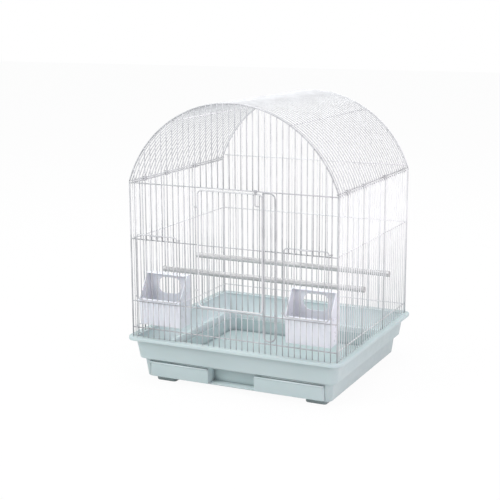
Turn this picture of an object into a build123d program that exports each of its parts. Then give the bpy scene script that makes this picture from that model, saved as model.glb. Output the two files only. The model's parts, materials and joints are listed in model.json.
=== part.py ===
"""Dome-top wire bird cage on a two-tier plastic base with a slide-out drawer.

Frame: +Z up, front towards -Y, +X to the right. The origin is at the middle of the
footprint, level with the underside of the feet. All lengths are in millimetres.
"""

import os
from math import asin, cos, degrees, pi, radians, sin, sqrt

from build123d import *

os.makedirs("parts", exist_ok=True)

# Overall sizes
WIRE_PITCH = 12.7
FRONT_GAPS = 36
SIDE_GAPS = 33
RIM_TOP = 101.0
SPRING_Z = 427.0
ARCH_RISE = 165.5

# Wire radii and the small gaps between welded or seated wires
WIRE_R = 1.0
RAIL_R = 1.2
FRAME_R = 1.6
LAP = 0.1
SEAT = 0.3
END_GAP = 0.2
RUNNING_FIT = 0.08
WIRE_SIDES = 6
EYE_SIDES = 8
ARCH_SEGMENTS = 15
STUB_R = 0.9

# Heights of the cross rails, from the rim or from the spring line
LOW_RAIL_Z = RIM_TOP + 19.5
SILL_Z = RIM_TOP + 76.0
MID_RAIL_Z = RIM_TOP + 207.0
FRONT_TOP_RAIL_Z = SPRING_Z - 2.0
BACK_TOP_RAIL_Z = SPRING_Z + 7.0
SIDE_TOP_RAIL_Z = SPRING_Z - 3.6
ROOF_EDGE_Z = SPRING_Z + 1.2
ROOF_STIFFENER_SHARE = 0.55

# Main door, counted in upright numbers from the left post
DOOR_FIRST = 12
DOOR_LAST = 24
DOOR_SIDE_GAP = 5.6
DOOR_BOTTOM_Z = SILL_Z + 4.4
DOOR_TOP_Z = FRONT_TOP_RAIL_Z - 5.8
DOOR_CORNER = 6.0
HINGE_HEIGHTS = (DOOR_BOTTOM_Z + 33.6, DOOR_TOP_Z - 34.2)
EYE_R = 2.4
EYE_LENGTH = 5.0

# Sliding doors in front of the two cups
CUP_DOOR_FIRST = 1
CUP_DOOR_LAST = 9
CUP_DOOR_SIDE_GAP = 4.4
CUP_DOOR_BOTTOM_Z = SILL_Z + 5.0
CUP_DOOR_TOP_Z = MID_RAIL_Z + 11.0
CUP_DOOR_CORNER = 4.0
CUP_DOOR_GAP = 0.5
CUP_EYE_R = 2.3
CUP_EYE_LENGTH = 4.0
CUP_EYE_INSET = 6.0
PULL_WIDTH = 25.4
PULL_REACH = 7.0

# Door latch hanging on the front top rail
LATCH_X = 4.5 * WIRE_PITCH
LATCH_BARREL_R = 3.2
LATCH_BARREL_LENGTH = 6.0
LATCH_WIRE_R = 1.3
LATCH_OUT = 1.1
LATCH_LENGTH = 29.0
LATCH_FOOT = 8.5

# Stiffening hairpin behind the latch side of the door
HAIRPIN_LEFT_X = 70.5
HAIRPIN_RIGHT_X = 96.0
HAIRPIN_BOTTOM_Z = LOW_RAIL_Z + 4.5
HAIRPIN_TOP_Z = FRONT_TOP_RAIL_Z - 2.0
HAIRPIN_R = 1.5
HAIRPIN_BEND = 12.0

# Heavier uprights of the side walls, counted from the front post
HEAVY_SIDE = (4, 11, 21)
HEAVY_R = 1.5
PERCH_UPRIGHTS = (11, 23)

# Clips that tie the roof to the side walls
CLIP_LENGTH = 6.0
CLIP_HALF_WIDTH = 2.1
CLIP_WALL = 0.9
CLIP_PLAY = 0.2

# Perches
PERCH_R = 6.0
PERCH_SIDES = 24
PERCH_Z = SILL_Z + 39.0
PERCH_PAST_WIRE = 4.5

# Base
RIM_OVERHANG = 12.0
RIM_THICKNESS = 3.0
RIM_CORNER = 22.0
RIM_CHAMFER = 1.0
CORNER_FACETS = 5
RIM_OPENING_INSET = 17.0
SKIRT_DEPTH = 7.0
SKIRT_WALL = 2.2
BASE_WALL = 2.5
UPPER_TOP_INSET = 12.0
UPPER_BOTTOM_INSET = 18.0
LOWER_TOP_INSET = 27.0
LOWER_BOTTOM_INSET = 32.0
STEP_Z = 53.0
BASE_BOTTOM_Z = 12.0
UPPER_CORNER = 18.0
LOWER_CORNER = 12.0
FOOT_SIDE_INSET = 69.6
FOOT_END_INSET = 61.55
FOOT_LENGTH = 46.0
FOOT_WIDTH = 30.0
FOOT_CORNER = 8.0

# Drawer
DRAWER_SIDE_INSET = 43.6
DRAWER_FRONT_INSET = 25.55
DRAWER_BACK_GAP = 2.0
DRAWER_TOP_Z = 46.5
DRAWER_WALL = 2.2
DRAWER_SIDE_PLAY = 0.8
DRAWER_FLOOR_PLAY = 0.3
DRAWER_TOP_PLAY = 1.5
DRAWER_CORNER = 13.0
RECESS_LEFT = -60.0
RECESS_RIGHT = 45.0
RECESS_DEPTH = 30.0
RECESS_CORNER = 4.0
GRIP_REACH = 5.0
GRIP_THICKNESS = 3.0

# Hooded cups behind the sliding doors
CUP_SIDE_PLAY = 2.8
CUP_BOTTOM_Z = SILL_Z - 50.0
CUP_DEPTH = 49.55
CUP_HOOD_Z = SILL_Z + 55.0
CUP_HOOD_TOP_DEPTH = 13.0
CUP_WALL = 2.0
CUP_LEDGE = 3.0
CUP_LEDGE_PLAY = 1.3
CUP_HOLE_WIDTH = 54.0
CUP_HOLE_BOTTOM = SILL_Z + 11.0
CUP_HOLE_TOP = SILL_Z + 45.0
CUP_HOLE_CORNER = 16.0
CUP_DRAFT = 4.0

# Values that follow from the sizes above
WIDTH = FRONT_GAPS * WIRE_PITCH
DEPTH = SIDE_GAPS * WIRE_PITCH
HALF_W = WIDTH / 2
HALF_D = DEPTH / 2
ARCH_R = (ARCH_RISE**2 + HALF_W**2) / (2 * ARCH_RISE)
ARCH_CENTRE_Z = SPRING_Z + ARCH_RISE - ARCH_R
WIRE_FOOT_Z = RIM_TOP + SEAT
UPRIGHT_TOP_Z = SPRING_Z - LAP
FRONT_Y = -HALF_D
BACK_Y = HALF_D
RAIL_STEP = WIRE_R + RAIL_R + LAP
FRAME_STEP = WIRE_R + FRAME_R + LAP
FRONT_FRAME_Y = FRONT_Y + FRAME_STEP
BACK_FRAME_Y = BACK_Y - FRAME_STEP
RAIL_HALF_X = HALF_W - FRAME_R - END_GAP
RAIL_HALF_Y = HALF_D - FRAME_STEP - FRAME_R - END_GAP
ARC_START_Z = SPRING_Z + 0.5
ARC_START = degrees(asin((ARC_START_Z - ARCH_CENTRE_Z) / ARCH_R))
ARC_STEP = (180 - 2 * ARC_START) / ARCH_SEGMENTS
ARC_SAG = ARCH_R * (1 - cos(radians(ARC_STEP / 2)))
RIM_HALF_X = HALF_W + RIM_OVERHANG
RIM_HALF_Y = HALF_D + RIM_OVERHANG
FOOT_X = RIM_HALF_X - FOOT_SIDE_INSET
FOOT_Y = RIM_HALF_Y - FOOT_END_INSET
DRAWER_HALF_X = RIM_HALF_X - DRAWER_SIDE_INSET
DRAWER_FRONT_Y = DRAWER_FRONT_INSET - RIM_HALF_Y
ROOF_STIFFENER_X = ROOF_STIFFENER_SHARE * HALF_W
CUP_BACK_Y = FRONT_Y + CUP_DEPTH
CUP_DOOR_SPAN = (CUP_DOOR_LAST - CUP_DOOR_FIRST) * WIRE_PITCH
CUP_WIDTH = CUP_DOOR_SPAN - 2 * CUP_SIDE_PLAY
CUP_LEDGE_WIDTH = CUP_DOOR_SPAN - 2 * CUP_LEDGE_PLAY


def upright_x(number):
    """X of a front or back upright, counted from the left post."""
    return -HALF_W + number * WIRE_PITCH


def side_y(number):
    """Y of a side upright or roof wire, counted from the front post."""
    return -HALF_D + number * WIRE_PITCH


def arch_height(x, radius):
    """Height of a circle about the roof's axis at a distance x from the middle."""
    return ARCH_CENTRE_Z + sqrt(radius**2 - x**2)


def bar(start, direction, length, radius, sides=WIRE_SIDES, mode=Mode.ADD):
    """Straight bar with a regular section, inside a circle of the given radius."""
    with BuildSketch(Plane(origin=start, z_dir=direction)) as end:
        RegularPolygon(radius, sides)
    extrude(end.sketch, amount=length, mode=mode)


def along_x(x_low, x_high, y, z, radius):
    """Wire parallel to X."""
    bar((x_low, y, z), (1, 0, 0), x_high - x_low, radius)


def along_y(x, y_low, y_high, z, radius):
    """Wire parallel to Y."""
    bar((x, y_low, z), (0, 1, 0), y_high - y_low, radius)


def along_z(x, y, z_low, z_high, radius):
    """Wire parallel to Z."""
    bar((x, y, z_low), (0, 0, 1), z_high - z_low, radius)


def guide_hole(start, direction, length, pin_radius):
    """Faceted hole whose flats clear a pin by the running fit."""
    across_corners = (pin_radius + RUNNING_FIT) / cos(pi / EYE_SIDES)
    bar(start, direction, length, across_corners, EYE_SIDES, Mode.SUBTRACT)


def round_hole(start, direction, length, pin_radius):
    """Round hole that clears a pin by the running fit."""
    with BuildSketch(Plane(origin=start, z_dir=direction)) as end:
        Circle(pin_radius + RUNNING_FIT)
    extrude(end.sketch, amount=length, mode=Mode.SUBTRACT)


def uprights(points, z_low, z_high, radius):
    """Row of upright wires standing on one level."""
    with BuildSketch(Plane.XY.offset(z_low)) as feet:
        with Locations(*points):
            RegularPolygon(radius, WIRE_SIDES)
    extrude(feet.sketch, amount=z_high - z_low)


def arc_points(radius):
    """Corners of the faceted arch at one radius, from right to left, as X and Z."""
    angles = [radians(ARC_START + n * ARC_STEP) for n in range(ARCH_SEGMENTS + 1)]
    return [(radius * cos(a), ARCH_CENTRE_Z + radius * sin(a)) for a in angles]


def arches(y_values, radius):
    """Wires bent over the roof at each Y, from spring line to spring line."""
    for y in y_values:
        with BuildSketch(Plane.XZ.offset(-y)) as side_view:
            with BuildLine():
                outer = arc_points(ARCH_R + radius)
                inner = arc_points(ARCH_R - radius)
                Polyline(*outer, *reversed(inner), close=True)
            make_face()
        extrude(side_view.sketch, amount=radius, both=True)


def trim_under_arch():
    """Keep only what lies under the centre line of the faceted arch."""
    with BuildSketch(Plane.XZ) as outline:
        with BuildLine():
            Polyline((-HALF_W, 0), (HALF_W, 0), *arc_points(ARCH_R), close=True)
        make_face()
    extrude(outline.sketch, amount=HALF_D + FRAME_STEP, both=True, mode=Mode.INTERSECT)


def cut_window(x_low, x_high, y, z_low, z_high):
    """Take the wires out of a rectangular opening in a wall."""
    middle = ((x_low + x_high) / 2, y, (z_low + z_high) / 2)
    with Locations(middle):
        Box(x_high - x_low, 4 * WIRE_R, z_high - z_low, mode=Mode.SUBTRACT)


def cut_corner(corner, radius):
    """Inner corner cut that keeps a bent wire as thick as its straight runs."""
    return corner - 2 * radius * (2 - sqrt(2))


def wire_loop(x_low, x_high, y, z_low, z_high, corner, radius):
    """Closed rectangular loop of wire standing in a plane of constant Y."""
    centre = ((x_low + x_high) / 2, (z_low + z_high) / 2)
    width = x_high - x_low
    height = z_high - z_low
    with BuildSketch(Plane.XZ.offset(-y)) as outside:
        with Locations(centre):
            Rectangle(width + 2 * radius, height + 2 * radius)
        chamfer(outside.vertices(), corner)
    with BuildSketch(Plane.XZ.offset(-y)) as inside:
        with Locations(centre):
            Rectangle(width - 2 * radius, height - 2 * radius)
        chamfer(inside.vertices(), cut_corner(corner, radius))
    extrude(outside.sketch, amount=radius, both=True)
    extrude(inside.sketch, amount=2 * radius, both=True, mode=Mode.SUBTRACT)


def rounded_outline(half_x, half_y, corner):
    """Corners of a rectangle whose rounded corners are faceted, as X and Y."""
    points = []
    for quarter, (sign_x, sign_y) in enumerate(((1, 1), (-1, 1), (-1, -1), (1, -1))):
        centre_x = sign_x * (half_x - corner)
        centre_y = sign_y * (half_y - corner)
        for step in range(CORNER_FACETS + 1):
            angle = radians(90 * quarter + 90 * step / CORNER_FACETS)
            points.append((centre_x + corner * cos(angle), centre_y + corner * sin(angle)))
    return points


def tier(z_low, inset_low, z_high, inset_high, corner, mode=Mode.ADD):
    """Tapered block with rounded corners, set in from the edge of the rim."""
    with BuildSketch(Plane.XY.offset(z_low)) as bottom:
        with BuildLine():
            Polyline(*rounded_outline(RIM_HALF_X - inset_low, RIM_HALF_Y - inset_low, corner), close=True)
        make_face()
    with BuildSketch(Plane.XY.offset(z_high)) as top:
        with BuildLine():
            Polyline(*rounded_outline(RIM_HALF_X - inset_high, RIM_HALF_Y - inset_high, corner), close=True)
        make_face()
    loft([bottom.sketch, top.sketch], ruled=True, mode=mode)


# Base: rim, two tapering tiers, drawer slot and four feet
LOWER_FLOOR_Z = BASE_BOTTOM_Z + BASE_WALL
DRAWER_BOTTOM_Z = LOWER_FLOOR_Z + DRAWER_FLOOR_PLAY
SLOT_TOP_Z = DRAWER_TOP_Z + DRAWER_TOP_PLAY

with BuildPart() as base_tray:
    tier(BASE_BOTTOM_Z, LOWER_BOTTOM_INSET, STEP_Z + BASE_WALL, LOWER_TOP_INSET, LOWER_CORNER)
    tier(STEP_Z, UPPER_BOTTOM_INSET, RIM_TOP - RIM_THICKNESS, UPPER_TOP_INSET, UPPER_CORNER)
    with BuildSketch(Plane.XY.offset(RIM_TOP - SKIRT_DEPTH)):
        RectangleRounded(2 * RIM_HALF_X, 2 * RIM_HALF_Y, RIM_CORNER)
        RectangleRounded(
            2 * (RIM_HALF_X - SKIRT_WALL),
            2 * (RIM_HALF_Y - SKIRT_WALL),
            RIM_CORNER - SKIRT_WALL,
            mode=Mode.SUBTRACT,
        )
    extrude(amount=SKIRT_DEPTH)
    with BuildSketch(Plane.XY.offset(RIM_TOP - RIM_THICKNESS)):
        RectangleRounded(2 * RIM_HALF_X, 2 * RIM_HALF_Y, RIM_CORNER)
    extrude(amount=RIM_THICKNESS)
    chamfer(base_tray.edges().group_by(Axis.Z)[-1], RIM_CHAMFER)
    with BuildSketch(Plane.XY) as feet_plan:
        with Locations((-FOOT_X, -FOOT_Y), (FOOT_X, -FOOT_Y), (-FOOT_X, FOOT_Y), (FOOT_X, FOOT_Y)):
            Rectangle(FOOT_LENGTH, FOOT_WIDTH)
        chamfer(feet_plan.vertices(), FOOT_CORNER)
    extrude(amount=BASE_BOTTOM_Z + BASE_WALL / 2)
    tier(
        LOWER_FLOOR_Z,
        LOWER_BOTTOM_INSET + BASE_WALL,
        STEP_Z + 2 * BASE_WALL,
        LOWER_TOP_INSET + BASE_WALL,
        LOWER_CORNER - BASE_WALL,
        Mode.SUBTRACT,
    )
    tier(
        STEP_Z + BASE_WALL,
        UPPER_BOTTOM_INSET + BASE_WALL,
        RIM_TOP - RIM_THICKNESS,
        UPPER_TOP_INSET + BASE_WALL,
        UPPER_CORNER - BASE_WALL,
        Mode.SUBTRACT,
    )
    tier(
        RIM_TOP - 2 * RIM_THICKNESS,
        RIM_OPENING_INSET,
        RIM_TOP + RIM_THICKNESS,
        RIM_OPENING_INSET,
        RIM_CORNER - RIM_OPENING_INSET,
        Mode.SUBTRACT,
    )
    with Locations((0, -RIM_HALF_Y, (LOWER_FLOOR_Z + SLOT_TOP_Z) / 2)):
        Box(
            2 * (DRAWER_HALF_X + DRAWER_SIDE_PLAY),
            2 * (LOWER_BOTTOM_INSET + 2 * BASE_WALL),
            SLOT_TOP_Z - LOWER_FLOOR_Z,
            mode=Mode.SUBTRACT,
        )

# Drawer: shallow pan whose front is two blocks with a finger recess between them
DRAWER_BACK_Y = RIM_HALF_Y - LOWER_BOTTOM_INSET - BASE_WALL - DRAWER_BACK_GAP
DRAWER_MIDDLE_Y = (DRAWER_FRONT_Y + DRAWER_BACK_Y) / 2
DRAWER_LENGTH = DRAWER_BACK_Y - DRAWER_FRONT_Y
RECESS_MIDDLE_X = (RECESS_LEFT + RECESS_RIGHT) / 2
RECESS_WIDTH = RECESS_RIGHT - RECESS_LEFT

with BuildPart() as drawer:
    with BuildSketch(Plane.XY.offset(DRAWER_BOTTOM_Z)) as drawer_plan:
        with Locations((0, DRAWER_MIDDLE_Y)):
            Rectangle(2 * DRAWER_HALF_X, DRAWER_LENGTH)
        chamfer(drawer_plan.vertices().group_by(Axis.Y)[-1], DRAWER_CORNER)
        chamfer(drawer_plan.vertices().group_by(Axis.Y)[0], RECESS_CORNER)
        with Locations((RECESS_MIDDLE_X, DRAWER_FRONT_Y)):
            Rectangle(RECESS_WIDTH, 2 * RECESS_DEPTH, mode=Mode.SUBTRACT)
    extrude(amount=DRAWER_TOP_Z - DRAWER_BOTTOM_Z)
    front_top_edges = drawer.edges().group_by(Axis.Z)[-1].filter_by(Axis.X).group_by(Axis.Y)[0]
    chamfer(front_top_edges, 2.0)
    with BuildSketch(Plane.XY.offset(DRAWER_BOTTOM_Z + DRAWER_WALL)) as pan_plan:
        with Locations((0, DRAWER_MIDDLE_Y)):
            Rectangle(2 * (DRAWER_HALF_X - DRAWER_WALL), DRAWER_LENGTH - 4 * DRAWER_WALL)
        chamfer(pan_plan.vertices(), DRAWER_CORNER - DRAWER_WALL)
        with Locations((RECESS_MIDDLE_X, DRAWER_FRONT_Y)):
            Rectangle(
                RECESS_WIDTH + 2 * DRAWER_WALL,
                2 * (RECESS_DEPTH + DRAWER_WALL),
                mode=Mode.SUBTRACT,
            )
    extrude(amount=DRAWER_TOP_Z - DRAWER_BOTTOM_Z, mode=Mode.SUBTRACT)
    grip_y = DRAWER_FRONT_Y + RECESS_DEPTH - GRIP_REACH / 2
    with Locations((RECESS_MIDDLE_X, grip_y, DRAWER_TOP_Z - GRIP_THICKNESS / 2)):
        Box(RECESS_WIDTH, GRIP_REACH, GRIP_THICKNESS)

# Front and back walls
CROSSING_UPRIGHTS = range(1, FRONT_GAPS)
DOOR_LEFT_X = upright_x(DOOR_FIRST)
DOOR_RIGHT_X = upright_x(DOOR_LAST)
CUP_INNER_X = HALF_W - CUP_DOOR_LAST * WIRE_PITCH
CUP_OUTER_X = HALF_W - CUP_DOOR_FIRST * WIRE_PITCH

with BuildPart() as front_frame:
    uprights([(-HALF_W, FRONT_FRAME_Y), (HALF_W, FRONT_FRAME_Y)], WIRE_FOOT_Z, UPRIGHT_TOP_Z, FRAME_R)
    arches([FRONT_FRAME_Y], FRAME_R)

with BuildPart() as front_uprights:
    uprights(
        [(upright_x(n), FRONT_Y) for n in CROSSING_UPRIGHTS],
        WIRE_FOOT_Z,
        SPRING_Z + ARCH_RISE,
        WIRE_R,
    )
    trim_under_arch()
    cut_window(
        DOOR_LEFT_X + 2 * WIRE_R,
        DOOR_RIGHT_X - 2 * WIRE_R,
        FRONT_Y,
        SILL_Z + WIRE_R,
        FRONT_TOP_RAIL_Z - WIRE_R,
    )
    for side in (-1, 1):
        window_ends = sorted((side * (CUP_INNER_X + 2 * WIRE_R), side * (CUP_OUTER_X - 2 * WIRE_R)))
        cut_window(*window_ends, FRONT_Y, SILL_Z + WIRE_R, MID_RAIL_Z - WIRE_R)

with BuildPart() as front_rails:
    for rail_z in (LOW_RAIL_Z, SILL_Z):
        along_x(-RAIL_HALF_X, RAIL_HALF_X, FRONT_Y + RAIL_STEP, rail_z, RAIL_R)
    along_x(-RAIL_HALF_X, DOOR_LEFT_X + WIRE_R, FRONT_Y + RAIL_STEP, MID_RAIL_Z, RAIL_R)
    along_x(DOOR_RIGHT_X - WIRE_R, RAIL_HALF_X, FRONT_Y + RAIL_STEP, MID_RAIL_Z, RAIL_R)

with BuildPart() as front_top_rail:
    along_x(-RAIL_HALF_X, RAIL_HALF_X, FRONT_Y - RAIL_STEP, FRONT_TOP_RAIL_Z, RAIL_R)

with BuildPart() as back_frame:
    uprights([(-HALF_W, BACK_FRAME_Y), (HALF_W, BACK_FRAME_Y)], WIRE_FOOT_Z, UPRIGHT_TOP_Z, FRAME_R)
    arches([BACK_FRAME_Y], FRAME_R)

with BuildPart() as back_uprights:
    uprights(
        [(upright_x(n), BACK_Y) for n in CROSSING_UPRIGHTS],
        WIRE_FOOT_Z,
        SPRING_Z + ARCH_RISE,
        WIRE_R,
    )
    trim_under_arch()

with BuildPart() as back_rails:
    for rail_z in (LOW_RAIL_Z, MID_RAIL_Z):
        along_x(-RAIL_HALF_X, RAIL_HALF_X, BACK_Y - RAIL_STEP, rail_z, RAIL_R)
    top_half = sqrt((ARCH_R - ARC_SAG - FRAME_R - END_GAP) ** 2 - (BACK_TOP_RAIL_Z + RAIL_R - ARCH_CENTRE_Z) ** 2)
    along_x(-top_half, top_half, BACK_Y - RAIL_STEP, BACK_TOP_RAIL_Z, RAIL_R)

# Stiffening hairpin inside the front wall
HAIRPIN_Y = FRONT_Y + RAIL_STEP + RAIL_R + LAP + HAIRPIN_R

BEND_INSIDE = cut_corner(HAIRPIN_BEND, HAIRPIN_R)
LEG_LEFT = (HAIRPIN_LEFT_X - HAIRPIN_R, HAIRPIN_LEFT_X + HAIRPIN_R)
LEG_RIGHT = (HAIRPIN_RIGHT_X - HAIRPIN_R, HAIRPIN_RIGHT_X + HAIRPIN_R)
BEND_LOW = HAIRPIN_BOTTOM_Z - HAIRPIN_R
BEND_HIGH = HAIRPIN_BOTTOM_Z + HAIRPIN_R

with BuildPart() as door_hairpin:
    with BuildSketch(Plane.XZ.offset(-HAIRPIN_Y)):
        with BuildLine():
            Polyline(
                (LEG_LEFT[0], HAIRPIN_TOP_Z),
                (LEG_LEFT[0], BEND_LOW + HAIRPIN_BEND),
                (LEG_LEFT[0] + HAIRPIN_BEND, BEND_LOW),
                (LEG_RIGHT[1] - HAIRPIN_BEND, BEND_LOW),
                (LEG_RIGHT[1], BEND_LOW + HAIRPIN_BEND),
                (LEG_RIGHT[1], HAIRPIN_TOP_Z),
                (LEG_RIGHT[0], HAIRPIN_TOP_Z),
                (LEG_RIGHT[0], BEND_HIGH + BEND_INSIDE),
                (LEG_RIGHT[0] - BEND_INSIDE, BEND_HIGH),
                (LEG_LEFT[1] + BEND_INSIDE, BEND_HIGH),
                (LEG_LEFT[1], BEND_HIGH + BEND_INSIDE),
                (LEG_LEFT[1], HAIRPIN_TOP_Z),
                close=True,
            )
        make_face()
    extrude(amount=HAIRPIN_R, both=True)

# Side walls and roof
SIDE_NUMBERS = range(1, SIDE_GAPS)
LIGHT_SIDE = [n for n in SIDE_NUMBERS if n not in HEAVY_SIDE]
SIDE_RAIL_X = HALF_W - HEAVY_R - RAIL_R - LAP
SIDE_TOP_X = HALF_W - HEAVY_R - FRAME_R - LAP

with BuildPart() as left_uprights:
    uprights([(-HALF_W, side_y(n)) for n in LIGHT_SIDE], WIRE_FOOT_Z, UPRIGHT_TOP_Z, WIRE_R)
    uprights([(-HALF_W, side_y(n)) for n in HEAVY_SIDE], WIRE_FOOT_Z, UPRIGHT_TOP_Z, HEAVY_R)

with BuildPart() as right_uprights:
    uprights([(HALF_W, side_y(n)) for n in LIGHT_SIDE], WIRE_FOOT_Z, UPRIGHT_TOP_Z, WIRE_R)
    uprights([(HALF_W, side_y(n)) for n in HEAVY_SIDE], WIRE_FOOT_Z, UPRIGHT_TOP_Z, HEAVY_R)

with BuildPart() as left_rails:
    for rail_z in (LOW_RAIL_Z, MID_RAIL_Z):
        along_y(-SIDE_RAIL_X, -RAIL_HALF_Y, RAIL_HALF_Y, rail_z, RAIL_R)
    along_y(-SIDE_TOP_X, -RAIL_HALF_Y, RAIL_HALF_Y, SIDE_TOP_RAIL_Z, FRAME_R)

with BuildPart() as right_rails:
    for rail_z in (LOW_RAIL_Z, MID_RAIL_Z):
        along_y(SIDE_RAIL_X, -RAIL_HALF_Y, RAIL_HALF_Y, rail_z, RAIL_R)
    along_y(SIDE_TOP_X, -RAIL_HALF_Y, RAIL_HALF_Y, SIDE_TOP_RAIL_Z, FRAME_R)

with BuildPart() as roof_arches:
    arches([side_y(n) for n in SIDE_NUMBERS], WIRE_R)

ROOF_EDGE_X = sqrt((ARCH_R - FRAME_STEP - ARC_SAG) ** 2 - (ROOF_EDGE_Z - ARCH_CENTRE_Z) ** 2)
STIFFENER_Z = arch_height(ROOF_STIFFENER_X, ARCH_R - RAIL_STEP - ARC_SAG)

with BuildPart() as roof_rails:
    for side in (-1, 1):
        along_y(side * ROOF_EDGE_X, -RAIL_HALF_Y, RAIL_HALF_Y, ROOF_EDGE_Z, FRAME_R)
        along_y(side * ROOF_STIFFENER_X, -RAIL_HALF_Y, RAIL_HALF_Y, STIFFENER_Z, RAIL_R)

CLIP_X = (ROOF_EDGE_X + SIDE_TOP_X) / 2
CLIP_Z = (ROOF_EDGE_Z + SIDE_TOP_RAIL_Z) / 2
CLIP_HALF_HEIGHT = (ROOF_EDGE_Z - SIDE_TOP_RAIL_Z) / 2 + FRAME_R + CLIP_PLAY

with BuildPart() as roof_clips:
    for number in HEAVY_SIDE:
        clip_y = side_y(number) + WIRE_PITCH / 2
        with BuildSketch(Plane.XZ.offset(-clip_y)) as clip_outside:
            with Locations((-CLIP_X, CLIP_Z), (CLIP_X, CLIP_Z)):
                Rectangle(2 * (CLIP_HALF_WIDTH + CLIP_WALL), 2 * (CLIP_HALF_HEIGHT + CLIP_WALL))
            chamfer(clip_outside.vertices(), CLIP_HALF_WIDTH / 2)
            with Locations((-CLIP_X, CLIP_Z), (CLIP_X, CLIP_Z)):
                Rectangle(2 * CLIP_HALF_WIDTH, 2 * CLIP_HALF_HEIGHT, mode=Mode.SUBTRACT)
        extrude(amount=CLIP_LENGTH / 2, both=True)

# Main door: wire loop, bars, middle bar and two eyes that turn on the left upright
DOOR_LOOP_LEFT = DOOR_LEFT_X + DOOR_SIDE_GAP
DOOR_LOOP_RIGHT = DOOR_RIGHT_X - DOOR_SIDE_GAP
DOOR_BAR_Y = FRONT_Y + FRAME_STEP
DOOR_MIDDLE_Y = DOOR_BAR_Y - 2 * WIRE_R - LAP

with BuildPart() as main_door:
    wire_loop(DOOR_LOOP_LEFT, DOOR_LOOP_RIGHT, FRONT_Y, DOOR_BOTTOM_Z, DOOR_TOP_Z, DOOR_CORNER, FRAME_R)
    for eye_z in HINGE_HEIGHTS:
        bar((DOOR_LEFT_X, FRONT_Y, eye_z - EYE_LENGTH / 2), (0, 0, 1), EYE_LENGTH, EYE_R, EYE_SIDES)
        along_x(DOOR_LEFT_X, DOOR_LOOP_LEFT, FRONT_Y, eye_z, RAIL_R)
        round_hole((DOOR_LEFT_X, FRONT_Y, eye_z - EYE_LENGTH), (0, 0, 1), 2 * EYE_LENGTH, WIRE_R)

with BuildPart() as main_door_bars:
    uprights(
        [(upright_x(n), DOOR_BAR_Y) for n in range(DOOR_FIRST + 1, DOOR_LAST)],
        DOOR_BOTTOM_Z,
        DOOR_TOP_Z,
        WIRE_R,
    )
    along_x(
        DOOR_LOOP_LEFT + FRAME_R + END_GAP,
        DOOR_LOOP_RIGHT - FRAME_R - END_GAP,
        DOOR_MIDDLE_Y,
        MID_RAIL_Z,
        WIRE_R,
    )

# Latch: barrel turning on the front top rail, with a drop leg and a foot
RAIL_LINE_Y = FRONT_Y - RAIL_STEP
LATCH_Y = RAIL_LINE_Y - LATCH_OUT
LATCH_FOOT_Z = FRONT_TOP_RAIL_Z - LATCH_LENGTH

BARREL_LEFT_X = LATCH_X - LATCH_BARREL_LENGTH / 2

with BuildPart() as door_latch:
    bar(
        (BARREL_LEFT_X, RAIL_LINE_Y, FRONT_TOP_RAIL_Z),
        (1, 0, 0),
        LATCH_BARREL_LENGTH,
        LATCH_BARREL_R,
        EYE_SIDES,
    )
    along_z(LATCH_X, LATCH_Y, LATCH_FOOT_Z, FRONT_TOP_RAIL_Z, LATCH_WIRE_R)
    along_x(LATCH_X - LATCH_WIRE_R, LATCH_X + LATCH_FOOT, LATCH_Y, LATCH_FOOT_Z, STUB_R)
    round_hole((BARREL_LEFT_X - 1, RAIL_LINE_Y, FRONT_TOP_RAIL_Z), (1, 0, 0), LATCH_BARREL_LENGTH + 2, RAIL_R)


# Cup doors: wire loop with four eyes that slide on the uprights at its sides
CUP_DOOR_Y = FRONT_Y - WIRE_R - RAIL_R - CUP_DOOR_GAP
CUP_EYE_HEIGHTS = (CUP_DOOR_BOTTOM_Z + CUP_EYE_INSET, CUP_DOOR_TOP_Z - CUP_EYE_INSET)


def cup_door_loop(side):
    """Loop, eyes and finger pull of the sliding door on one side."""
    x_low, x_high = sorted((side * (CUP_INNER_X + CUP_DOOR_SIDE_GAP), side * (CUP_OUTER_X - CUP_DOOR_SIDE_GAP)))
    wire_loop(x_low, x_high, CUP_DOOR_Y, CUP_DOOR_BOTTOM_Z, CUP_DOOR_TOP_Z, CUP_DOOR_CORNER, RAIL_R)
    middle_x = (x_low + x_high) / 2
    pull_y = CUP_DOOR_Y - PULL_REACH
    for end_x in (middle_x - PULL_WIDTH / 2, middle_x + PULL_WIDTH / 2):
        along_y(end_x, pull_y, CUP_DOOR_Y, CUP_DOOR_TOP_Z, STUB_R)
    along_x(middle_x - PULL_WIDTH / 2 - RAIL_R, middle_x + PULL_WIDTH / 2 + RAIL_R, pull_y, CUP_DOOR_TOP_Z, RAIL_R)
    for loop_x, post_x in ((x_low, x_low - CUP_DOOR_SIDE_GAP), (x_high, x_high + CUP_DOOR_SIDE_GAP)):
        for eye_z in CUP_EYE_HEIGHTS:
            low = eye_z - CUP_EYE_LENGTH / 2
            bar((post_x, FRONT_Y, low), (0, 0, 1), CUP_EYE_LENGTH, CUP_EYE_R, EYE_SIDES)
            along_x(min(loop_x, post_x), max(loop_x, post_x), CUP_DOOR_Y, eye_z, STUB_R)
            guide_hole((post_x, FRONT_Y, low - 1), (0, 0, 1), CUP_EYE_LENGTH + 2, WIRE_R)


def cup_door_bars(side):
    """Bars between the top and bottom of a sliding door's loop."""
    numbers = range(CUP_DOOR_FIRST + 1, CUP_DOOR_LAST)
    uprights(
        [(side * (HALF_W - n * WIRE_PITCH), CUP_DOOR_Y) for n in numbers],
        CUP_DOOR_BOTTOM_Z + RAIL_R + END_GAP,
        CUP_DOOR_TOP_Z - RAIL_R - END_GAP,
        WIRE_R,
    )


with BuildPart() as cup_door_left:
    cup_door_loop(-1)

with BuildPart() as cup_door_left_bars:
    cup_door_bars(-1)

with BuildPart() as cup_door_right:
    cup_door_loop(1)

with BuildPart() as cup_door_right_bars:
    cup_door_bars(1)

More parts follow.
